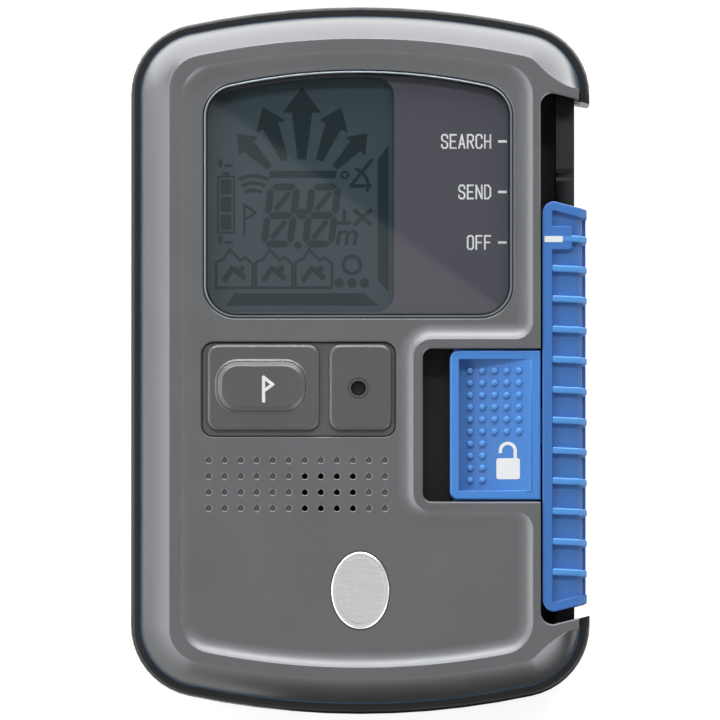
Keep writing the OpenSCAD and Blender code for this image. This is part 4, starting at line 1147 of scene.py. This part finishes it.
def parts_inside():
    """Finishes of the parts that keep their CAD shape, the aerial windings and the lock's spring."""
    for node, look in KEPT.items():
        shape = frame["nodes"][node]
        shape.data.materials.clear()
        shape.data.materials.append(finish(look))
    for node, (name, look) in COILS.items():
        finished(refined(node, name, 40), finish(look), nodes=[node])
    spring = finished(refined("lock_spring", "return_spring", 60), finish("spring_steel"),
                      nodes=["lock_spring"])
    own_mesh(spring)


# ---------------------------------------------------------------- finishes

def banded(name, axis):
    """Enamelled wire wound round an axis: fine grooves across it, with painted shade that darkens the colour
    in the grooves.
    """
    finish = Finish(name, metallic=0.85)
    place = finish.add("ShaderNodeSeparateXYZ", {}, {"Vector": finish.where}, axis)
    turns = place.math("SINE", place * (2 * math.pi / (0.35 * MM)))
    groove = turns * 0.5 + 0.5
    # painted shade: dark brown down in the grooves between the turns, copper on their tops
    finish.set("Base Color", finish.mix(groove, paint("5a2a14"), paint("c07a4a")))
    finish.set("Roughness", groove * -0.15 + 0.4)
    finish.bump(groove, 0.06)
    return finish.material


def glazed(name, colour, gloss):
    """Clear plastic or glass: tinted, and more of a mirror the more aslant it is seen."""
    finish = Finish(name, gloss, 1.0)
    smear = finish.noise(9, 3)
    finish.set("Base Color", finish.mix(smear, *shades(paint("f8f8f8"), 0.01)))
    edge = finish.add("ShaderNodeLayerWeight", {}, {"Blend": 0.05}, "Facing")
    clear = finish.add("ShaderNodeBsdfTransparent", {}, {"Color": (*colour, 1)})
    finish.ends(finish.add("ShaderNodeMixShader", {}, {
        "Fac": edge, 1: clear, 2: Signal(finish, finish.shader.outputs[0])}), "Material Output")
    return finish.material


def backed(name, colour):
    """A layer that lies against glass, and so shows its polish."""
    finish = Finish(name, 0.02)
    fine, clouds = finish.noise(0.3, 2), finish.noise(20, 2)
    finish.set("Base Color", finish.mix(clouds * 0.8 + fine * 0.2, *shades(colour, 0.05)))
    return finish.material


def switch_plastic_with_painted_shade(name, colour, share=0.55):
    """Blue moulded plastic with fine grain and painted shade, which darkens it down in its pockets and ramp.
    """
    finish = Finish(name)
    fine, clouds = finish.noise(0.25, 3), finish.noise(14, 3)
    place = finish.add("ShaderNodeSeparateXYZ", {}, {"Vector": finish.where}, "Z")
    # painted shade: it grows with depth below the lock's top, and is kept off the slide switch's right bevel
    top = finish.ramp(place.beside("X"), (SLIDER[1].x - 0.9) * MM, (SLIDER[1].x - 1.4) * MM)
    deep = finish.ramp(place, LOCK[1].z * MM, (LOCK[1].z - 1.9) * MM) * top
    tone = finish.mix(finish.ramp(fine * 0.5 + clouds * 0.5, 0.3, 0.7), *shades(colour, 0.05))
    # the shaded copy of the colour that the painted shade blends to; share sets how dark it is
    dark = finish.mix(fine, *shades(tuple(c * share for c in colour), 0.12))
    finish.set("Base Color", finish.mix(deep, tone, dark))
    finish.set("Roughness", fine * 0.12 + deep * 0.15 + 0.34)
    finish.bump(fine, 0.012)
    return finish.material


def board(name):
    """Green solder mask with traces under it and bright pads."""
    finish = Finish(name)
    weave = finish.noise(0.35, 3)
    run = finish.add("ShaderNodeTexBrick", {"offset": 0.35, "squash": 0.7}, {
        "Vector": finish.where, "Scale": 1 / MM, "Mortar Size": 0.045, "Brick Width": 2.6,
        "Row Height": 0.9}, "Fac")
    mask = finish.mix(weave, paint("174c31"), paint("22633f"))
    finish.set("Base Color", finish.mix(run, mask, paint("3b8356")))
    finish.set("Roughness", weave * 0.15 + 0.3)
    finish.bump(run, 0.03)
    return finish.material


def ferrite(name):
    """Sintered black ceramic with pits."""
    finish = Finish(name)
    pits, cloud = finish.noise(0.5, 5, 0.7), finish.noise(6, 2)
    finish.set("Base Color", finish.mix(finish.ramp(pits, 0.35, 0.65), paint("1c1c1e"), paint("3a3a3d")))
    finish.set("Roughness", cloud * 0.2 + 0.45)
    finish.bump(finish.ramp(pits, 0.3, 0.5), 0.05)
    return finish.material


def wrapped(name):
    """A cell's printed wrap: a plain band of a second colour near one end."""
    finish = Finish(name, Coat_Weight=0.4)
    fine = finish.noise(0.6, 3)
    place = finish.add("ShaderNodeSeparateXYZ", {}, {"Vector": finish.where}, "Y")
    band = place.above(-2 * MM)
    blue = finish.mix(fine, paint("2f5f98"), paint("3a6ca6"))
    finish.set("Base Color", finish.mix(band, blue, paint("b9bcc0")))
    finish.set("Roughness", fine * 0.1 + 0.28)
    finish.bump(fine, 0.01)
    return finish.material


def cloth(name):
    """Fine woven mesh over the speaker."""
    finish = Finish(name)
    place = finish.add("ShaderNodeSeparateXYZ", {}, {"Vector": finish.where}, "X")
    pitch = 2 * math.pi / (0.3 * MM)
    warp = place.math("SINE", place * pitch)
    weft = place.math("SINE", place.beside("Y") * pitch)
    weave = warp * weft * 0.5 + 0.5
    finish.set("Base Color", finish.mix(weave, paint("0c0c0d"), paint("232325")))
    finish.set("Roughness", weave * 0.2 + 0.7)
    finish.bump(weave, 0.08)
    return finish.material


# Moulded finishes: name, colour, roughness, grain's size and depth, spread of the colour and how metallic
MOULDED = {
    # painted reflection: opaque grey for the clear window's polished edge
    "window_edge": ("Polished edge", "707880", 0.35, 0.3, 0.002, 0.04, 0.5),
    "black_plastic": ("Black plastic", "2b2c2e", 0.5, 0.35, 0.02, 0.1),
    "strip_rubber": ("Contact strip", "c08484", 0.7, 0.2, 0.02, 0.12),
    "black_foam": ("Adhesive foam", "1d1e20", 0.85, 0.2, 0.04, 0.2),
    "chip_black": ("Chip resin", "202124", 0.6, 0.15, 0.01, 0.15),
    "ceramic_tan": ("Small parts", "9c8a6c", 0.5, 1.2, 0.01, 0.3),
    "saddle_grey": ("Saddle foam", "6f7276", 0.85, 0.5, 0.05, 0.15),
    "black_rubber": ("Black rubber", "1c1d1f", 0.75, 0.3, 0.03, 0.15),
}
# The same for those that mirror less than usual, with how much they mirror at the end
DULL = {
    "rail_dark": ("Matt rail", "343536", 0.75, 0.35, 0.01, 0.1, 0.05),
    "inside_dark": ("Unpainted plastic", "151617", 0.6, 0.35, 0.02, 0.1, 0.2),
    "clear_lamp": ("Lamp resin", "121315", 0.45, 0.4, 0.004, 0.1, 0.3),
}
# Metals: name, colour and roughness, then how the marks stretch, their size and their depth
METALS = {
    "tinned_steel": ("Tinned steel", "c4c5c6", 0.32),
    "bright_badge": ("Brushed badge", "c9cacc", 0.28, (0.05, 1, 1), 0.12, 0.002),
    "steel": ("Steel", "b4b5b8", 0.3, (1, 0.3, 1)),
    "magnet": ("Magnet plating", "9a9ca0", 0.25),
    "spring_steel": ("Spring steel", "a9abae", 0.28, (1, 0.2, 1)),
    "nickel": ("Nickel plate", "c2c0b8", 0.22),
    "brass": ("Brass", "b8923f", 0.3),
}
# Finishes whose colour is a setting, and those with a maker of their own
MAKERS = {
    "housing_grey": lambda looks: moulded(
        "Satin grey paint", looks.housing.front_colour, looks.housing.front_gloss, 0.28, 0.003, 0.03, 0.75),
    "housing_dark": lambda looks: moulded(
        "Dark textured plastic", looks.housing.rear_colour, 0.35, 0.35, 0.01, 0.1, Specular_IOR_Level=0.3),
    "blue_seal": lambda looks: moulded("Blue joint seal", looks.housing.seal_colour, 0.5, 0.4, 0.01, 0.06),
    "keypad_grey": lambda looks: moulded(
        "Grey keypad rubber", looks.housing.keypad_colour, 0.3, 0.22, 0.012, 0.06),
    "switch_blue": lambda looks: switch_plastic_with_painted_shade("Blue lock plastic", looks.switches.blue, 0.72),
    # painted shade: the slide switch takes a darker copy of the lock's blue
    "slider_blue": lambda looks: switch_plastic_with_painted_shade("Blue slider plastic", looks.switches.slider_blue, 0.72),
    # painted highlight in the lighter blue of the ribs and dots, with a little painted shade down the ramp
    "grip_blue": lambda looks: switch_plastic_with_painted_shade("Blue grip plastic", looks.switches.grip_blue, 0.9),
    "white_print": lambda looks: moulded("White print", looks.switches.print_colour, 0.5, 0.2, 0.002, 0.03),
    "window": lambda looks: glazed("Clear window", looks.display.glass_tint, 0.0),
    "window_print": lambda looks: backed("Slate print", looks.display.mask_colour),
    "display": lambda looks: backed("Display glass", looks.display.screen_colour),
    "display_ink": lambda looks: backed("Display symbols", looks.display.ink_colour),
    "clear_plastic": lambda looks: glazed("Light guide", paint("e8eef0"), 0.15),
    "black_cloth": lambda looks: cloth("Speaker cloth"),
    "board_green": lambda looks: board("Circuit board"),
    "ferrite": lambda looks: ferrite("Ferrite"),
    "copper_x": lambda looks: banded("Winding along X", "X"),
    "copper_y": lambda looks: banded("Winding along Y", "Y"),
    "copper_z": lambda looks: banded("Winding along Z", "Z"),
    "cell_wrap": lambda looks: wrapped("Cell wrap"),
}
FINISHES = {}


def made_finish(name):
    """Makes one of this object's finishes."""
    if name in MOULDED:
        title, code, *rest = MOULDED[name]
        return moulded(title, paint(code), *rest)
    if name in DULL:
        title, code, *rest, mirror = DULL[name]
        return moulded(title, paint(code), *rest, Specular_IOR_Level=mirror)
    if name in METALS:
        title, code, *rest = METALS[name]
        return metal(title, paint(code), *rest)
    return MAKERS[name](bpy.context.scene.transceiver)


def finish(name):
    """One of this object's finishes, made when it is first asked for."""
    if name not in FINISHES:
        FINISHES[name] = made_finish(name)
    return FINISHES[name]


# ---------------------------------------------------------------- stage

def seen_rays(graph):
    """1 where a camera, glossy or transmission ray looks, and 0 where light is gathered."""
    path = graph.add("ShaderNodeLightPath", {}, {}, "Is Camera Ray")
    mirror = path.math("MAXIMUM", path, path.beside("Is Glossy Ray"))
    return path.math("MAXIMUM", mirror, path.beside("Is Transmission Ray"))


def panel(name, place, aim, size, strength):
    """A softbox: an area light that faces a point. Its strength is its brightness, where 1 is white."""
    light = bpy.data.lights.new(name, "AREA")
    light.shape = "RECTANGLE"
    light.size, light.size_y = size
    light.energy = strength * math.pi * size[0] * size[1]
    lamp = bpy.data.objects.new(name, light)
    lamp.location = place
    lamp.rotation_euler = (Vector(aim) - Vector(place)).to_track_quat("-Z", "Y").to_euler()
    lamp.visible_camera = False
    bpy.context.scene.collection.objects.link(lamp)
    return lamp


def card(name, corners, brightness):
    """A reflector that only mirrors and glossy surfaces see."""
    release()
    bpy.ops.mesh.primitive_plane_add(size=1)
    piece = bpy.context.object
    piece.name = name
    for vertex, corner in zip(piece.data.vertices, corners):
        vertex.co = corner
    look = Finish(name + " face", 1.0)
    glow = look.add("ShaderNodeEmission", {}, {"Color": (1, 1, 1, 1), "Strength": brightness})
    look.ends(glow, "Material Output")
    piece.data.materials.append(look.material)
    piece.visible_camera = piece.visible_shadow = piece.visible_transmission = piece.visible_diffuse = False


def reflectors(studio):
    """Cards and walls round the object, and two cards over it."""
    low, far, high, gap, ring, overhead = 0.002, 0.7, 0.45, 0.0015, 0.6, 1.03
    x, y = HALF_W * MM + gap, HALF_L * MM + gap
    for name, near, away, shade, wall in (
            ("above", ((-far, y), (far, y)), (0, far - y), studio.card_above, 0),
            ("left", ((-x, -y), (-x, y)), (x - far, 0), studio.card_left, studio.wall_left),
            ("below", ((-far, -y), (far, -y)), (0, y - far), studio.card_below, studio.wall_below),
            ("right", ((x, -y), (x, y)), (far - x, 0), studio.card_right, studio.wall_right)):
        (ax, ay), (bx, by) = near
        dx, dy = away
        outer = ((ax + dx, ay + dy), (bx + dx, by + dy))
        card(f"Card {name}", [(*p, low) for p in (*near, *outer)], shade)
        if wall:
            card(f"Wall {name}", [(*p, z) for z in (low, high) for p in outer], wall)
    for name, first, last, shade in (("lower left", 187, 248, studio.corner_left),
                                     ("lower right", 292, 338, studio.corner_right)):
        ends = [(ring * math.cos(math.radians(a)), ring * math.sin(math.radians(a))) for a in (first, last)]
        card(f"Wall {name}", [(*end, z) for z in (low, high) for end in ends], shade)
        if name == "lower left":
            near = ((-x, 0.02 - y), (0.03 - x, -y))
            card(f"Card {name}", [(*p, 2 * low) for p in (*near, *ends)], shade * 0.36)
    # two cards overhead that meet along a slanting line
    first, last, reach = Vector((-0.0362, 0.0896)), Vector((0.0337, 0.0395)), 0.12
    along = (last - first).normalized() * reach
    aside = Vector((-along.y, along.x))
    for name, side, shade in (("dark", aside, studio.card_dark), ("pale", -aside, studio.card_pale)):
        near = (first - along, last + along)
        far_side = [p + side * 1.6 for p in near]
        card(f"Overhead card {name}", [(*p, overhead) for p in (*near, *far_side)], shade)


def paper_floor(colour):
    """A pale floor that glows to the camera and is clear from below."""
    release()
    bpy.ops.mesh.primitive_plane_add(size=6, location=(0, 0, -0.0004))
    floor = bpy.context.object
    floor.name = "floor"
    bpy.ops.object.transform_apply(location=True, rotation=True, scale=True)
    look = Finish("Floor paper", 0.9, Specular_IOR_Level=0.1)
    look.set("Base Color", look.mix(look.noise(2.5, 3), *shades(colour, 0.01)))
    look.set("Emission Color", (1, 1, 1))
    look.set("Emission Strength", seen_rays(look) * 0.74)
    back = look.add("ShaderNodeNewGeometry", {}, {}, "Backfacing")
    look.ends(look.add("ShaderNodeMixShader", {}, {
        "Fac": back, 1: Signal(look, look.shader.outputs[0]),
        2: look.add("ShaderNodeBsdfTransparent", {}, {})}), "Material Output")
    floor.data.materials.append(look.material)


def camera_above(studio):
    """The scene's camera, which looks almost straight down. The field is what it sees across at the rim."""
    field = 119.92
    target = Vector((-0.04, -0.125, REAR[1].z)) * MM
    tilt = studio.camera_tilt
    lens = bpy.data.cameras.new("Camera")
    lens.lens = lens.sensor_width * studio.camera_distance / (field * MM)
    lens.clip_start, lens.clip_end = 0.01, 20
    camera = bpy.data.objects.new("Camera", lens)
    camera.location = target + Vector((0, -math.sin(tilt), math.cos(tilt))) * studio.camera_distance
    camera.rotation_euler = (tilt, 0, 0)
    bpy.context.scene.collection.objects.link(camera)
    bpy.context.scene.camera = camera


def stage(settings):
    """The world, floor, lights, cards and camera."""
    scene, studio = bpy.context.scene, settings.studio
    scene.view_settings.view_transform = "Standard"
    world = bpy.data.worlds.new("Studio")
    scene.world = world
    world.use_nodes = True
    sky = Graph(world.node_tree)
    seen = seen_rays(sky)
    sky.ends(sky.add("ShaderNodeBackground", {}, {
        "Color": (1, 1, 1, 1), "Strength": seen * (1 - studio.ambient) + studio.ambient}), "World Output")

    paper_floor(studio.floor_colour)
    centre = (0, 0, 0)
    panel("Softbox above", (0, 0.8, 0.22), centre, (1.4, 0.4), studio.key)
    panel("Strip above", (0, 0.75, 0.75), centre, (1.2, 0.11), studio.strip)
    panel("Softbox left", (-0.75, 0.05, 0.5), centre, (0.9, 0.25), studio.side)
    for name, place, strength in (("above", (0, 0.72, 0.72), studio.edge_above),
                                  ("left", (-0.72, 0, 0.72), studio.edge_left)):
        panel(f"Edge light {name}", place, centre, (1.4, 0.08), strength).visible_diffuse = False
    reflectors(studio)
    camera_above(studio)


# ---------------------------------------------------------------- add-on

def tint(name, description, code):
    """A colour that a user may change."""
    return FloatVectorProperty(name=name, description=description, subtype="COLOR", size=3, min=0, max=1,
                               default=paint(code))


def size(name, description, millimetres):
    """A size that a user may change."""
    return FloatProperty(name=name, description=description, unit="LENGTH", precision=5, min=0,
                         default=millimetres * MM)


def glow(name, description, amount, most=50):
    """A light's or a card's brightness, where 1 is white."""
    return FloatProperty(name=name, description="Brightness of the " + description, default=amount, min=0,
                         max=most)


class HousingSettings(PropertyGroup):
    front_colour: tint("Front", "Colour of the front housing", "5e5f61")
    rear_colour: tint("Rear", "Colour of the rear housing", "141517")
    seal_colour: tint("Seal", "Colour of the seal in the joint", "44759f")
    keypad_colour: tint("Keypad", "Colour of the keypad and the marking key", "525253")
    front_gloss: FloatProperty(name="Front roughness", description="Roughness of the front housing",
                               default=0.4, min=0, max=1)
    grille_hole: size("Grille hole", "Radius of a hole of the sound grille", 0.63)


class SwitchSettings(PropertyGroup):
    blue: tint("Lock", "Colour of the lock button", "3d82d0")
    # painted shade: the slide switch's blue is kept darker than the lock's, for the lesser light that its
    # plate catches
    slider_blue: tint("Slide switch", "Colour of the slide switch", "306eb8")
    # painted highlight: the ribs and dots take a lighter copy of the blue, for the light that catches their
    # tops
    grip_blue: tint("Grips", "Colour of the ribs and the raised dots", "4790da")
    print_colour: tint("Print", "Colour of the printed signs", "e4e6e8")
    rib_width: size("Rib width", "Width of a rib of the slide switch", 1.16)
    dot_radius: size("Dot radius", "Radius of a grip dot of the lock button", 0.52)


class DisplaySettings(PropertyGroup):
    glass_tint: tint("Window", "Tint of the window", "f8f8f8")
    mask_colour: tint("Surround", "Colour of the print beside the display", "5e5f68")
    screen_colour: tint("Screen", "Colour of the display's glass", "45555b")
    ink_colour: tint("Symbols", "Colour of the display's symbols", "2c393d")
    letter_height: size("Letter height", "Height of the letters beside the switch", 2.2)
    letter_stroke: size("Letter stroke", "Width of a stroke of those letters", 0.27)


class StudioSettings(PropertyGroup):
    floor_colour: tint("Floor", "Colour of the floor", "e8e8e8")
    ambient: glow("Ambient", "light from all round", 0.3, 2)
    key: glow("Above", "low softbox above", 5)
    strip: glow("Strip", "strip light above", 15)
    side: glow("Left", "softbox on the left", 3.5)
    edge_above: glow("Edge above", "strip above that only glossy surfaces see", 26, 200)
    edge_left: glow("Edge left", "strip on the left that only glossy surfaces see", 6, 200)
    card_above: glow("Card above", "card beyond the display end", 4.9)
    card_left: glow("Card left", "card on the left", 1.7)
    wall_left: glow("Wall left", "wall on the left", 5.4)
    card_below: glow("Card below", "card beyond the lower end", 0.02)
    wall_below: glow("Wall below", "wall beyond the lower end", 1.5)
    corner_left: glow("Lower left", "wall at the lower left", 3.2)
    corner_right: glow("Lower right", "wall at the lower right", 4.5)
    card_right: glow("Card right", "card on the right", 1.1)
    wall_right: glow("Wall right", "wall on the right", 2.5)
    card_dark: glow("Dark overhead card", "upper overhead card", 0.1)
    card_pale: glow("Pale overhead card", "lower overhead card", 0.95)
    camera_tilt: FloatProperty(name="Camera tilt", description="Lean of the camera from straight above",
                               subtype="ANGLE", default=math.radians(1.6))
    camera_distance: FloatProperty(name="Camera distance", description="From the camera to the housing's rim",
                                   unit="LENGTH", default=2.5, min=0.3, max=10)


class TransceiverSettings(PropertyGroup):
    housing: PointerProperty(name="Housing", description="Housings, seal and keypad", type=HousingSettings)
    switches: PointerProperty(name="Switches", description="Slide switch and lock", type=SwitchSettings)
    display: PointerProperty(name="Display", description="Window and display", type=DisplaySettings)
    studio: PointerProperty(name="Studio", description="Floor, lights and camera", type=StudioSettings)


class TRANSCEIVER_OT_stage(Operator):
    """Makes the floor, the lights, the world and the camera"""
    bl_idname = "transceiver.stage"
    bl_label = "Stage"

    def execute(self, context):
        stage(context.scene.transceiver)
        return {"FINISHED"}


class TRANSCEIVER_OT_front_housing(Operator):
    """Models the front housing with its dished panel, slot, recesses and sound grille"""
    bl_idname = "transceiver.front_housing"
    bl_label = "Front housing"

    def execute(self, context):
        front_housing(context.scene.transceiver)
        return {"FINISHED"}


class TRANSCEIVER_OT_rear_housing(Operator):
    """Models the rear housing, the joint's seal and the housing screws"""
    bl_idname = "transceiver.rear_housing"
    bl_label = "Rear housing"

    def execute(self, context):
        rear_housing()
        return {"FINISHED"}


class TRANSCEIVER_OT_window(Operator):
    """Models the window, its print and the names of the switch's places"""
    bl_idname = "transceiver.window"
    bl_label = "Window"

    def execute(self, context):
        window(context.scene.transceiver)
        return {"FINISHED"}


class TRANSCEIVER_OT_display(Operator):
    """Models the display's symbols"""
    bl_idname = "transceiver.display"
    bl_label = "Display"

    def execute(self, context):
        display()
        return {"FINISHED"}


class TRANSCEIVER_OT_keypad(Operator):
    """Models the keypad, the marking key and its sign"""
    bl_idname = "transceiver.keypad"
    bl_label = "Keypad"

    def execute(self, context):
        keypad()
        return {"FINISHED"}


class TRANSCEIVER_OT_badge(Operator):
    """Models the plain oval plate below the sound grille"""
    bl_idname = "transceiver.badge"
    bl_label = "Badge"

    def execute(self, context):
        badge()
        return {"FINISHED"}


class TRANSCEIVER_OT_mode_slider(Operator):
    """Models the ribbed slide switch and its pointer"""
    bl_idname = "transceiver.mode_slider"
    bl_label = "Slide switch"

    def execute(self, context):
        mode_slider(context.scene.transceiver)
        return {"FINISHED"}


class TRANSCEIVER_OT_lock_button(Operator):
    """Models the lock button with its ramp, grip dots and sign"""
    bl_idname = "transceiver.lock_button"
    bl_label = "Lock button"

    def execute(self, context):
        lock_button(context.scene.transceiver)
        return {"FINISHED"}


class TRANSCEIVER_OT_battery_bay(Operator):
    """Models the cells, their contacts and the battery cover"""
    bl_idname = "transceiver.battery_bay"
    bl_label = "Battery bay"

    def execute(self, context):
        battery_bay()
        return {"FINISHED"}


class TRANSCEIVER_OT_parts_inside(Operator):
    """Finishes the parts inside the housings and models the windings and the lock's spring"""
    bl_idname = "transceiver.parts_inside"
    bl_label = "Parts inside"

    def execute(self, context):
        parts_inside()
        return {"FINISHED"}


class TRANSCEIVER_PT_panel(Panel):
    """Lists the settings and the operators"""
    bl_idname = "TRANSCEIVER_PT_panel"
    bl_label = "Avalanche Transceiver"
    bl_space_type = "VIEW_3D"
    bl_region_type = "UI"
    bl_category = "Transceiver"

    def draw(self, context):
        settings = context.scene.transceiver
        for group in (settings.housing, settings.switches, settings.display, settings.studio):
            area = self.layout.box()
            for name in group.__annotations__:
                area.prop(group, name)
        for step in STEPS:
            self.layout.operator(step.bl_idname)


STEPS = (
    TRANSCEIVER_OT_stage, TRANSCEIVER_OT_rear_housing, TRANSCEIVER_OT_front_housing, TRANSCEIVER_OT_window,
    TRANSCEIVER_OT_display, TRANSCEIVER_OT_keypad, TRANSCEIVER_OT_badge, TRANSCEIVER_OT_mode_slider,
    TRANSCEIVER_OT_lock_button, TRANSCEIVER_OT_battery_bay, TRANSCEIVER_OT_parts_inside,
)
CLASSES = (HousingSettings, SwitchSettings, DisplaySettings, StudioSettings, TransceiverSettings, *STEPS,
           TRANSCEIVER_PT_panel)


def register():
    """Registers the classes and hangs the settings on the scene."""
    for entry in CLASSES:
        bpy.utils.register_class(entry)
    bpy.types.Scene.transceiver = PointerProperty(type=TransceiverSettings)


def unregister():
    """Takes the settings and the classes away again."""
    del bpy.types.Scene.transceiver
    for entry in reversed(CLASSES):
        bpy.utils.unregister_class(entry)


def corners(bounds):
    """A box's two corners as plain lists."""
    return [list(corner) for corner in bounds]


def main():
    """Registers the add-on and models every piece."""
    register()
    bpy.ops.transceiver.stage()
    bpy.ops.transceiver.rear_housing()
    bpy.ops.transceiver.front_housing()
    bpy.ops.transceiver.window()
    bpy.ops.transceiver.display()
    bpy.ops.transceiver.keypad()
    bpy.ops.transceiver.badge()
    bpy.ops.transceiver.mode_slider()
    bpy.ops.transceiver.lock_button()
    bpy.ops.transceiver.battery_bay()
    bpy.ops.transceiver.parts_inside()


if __name__ == "__main__":
    main()
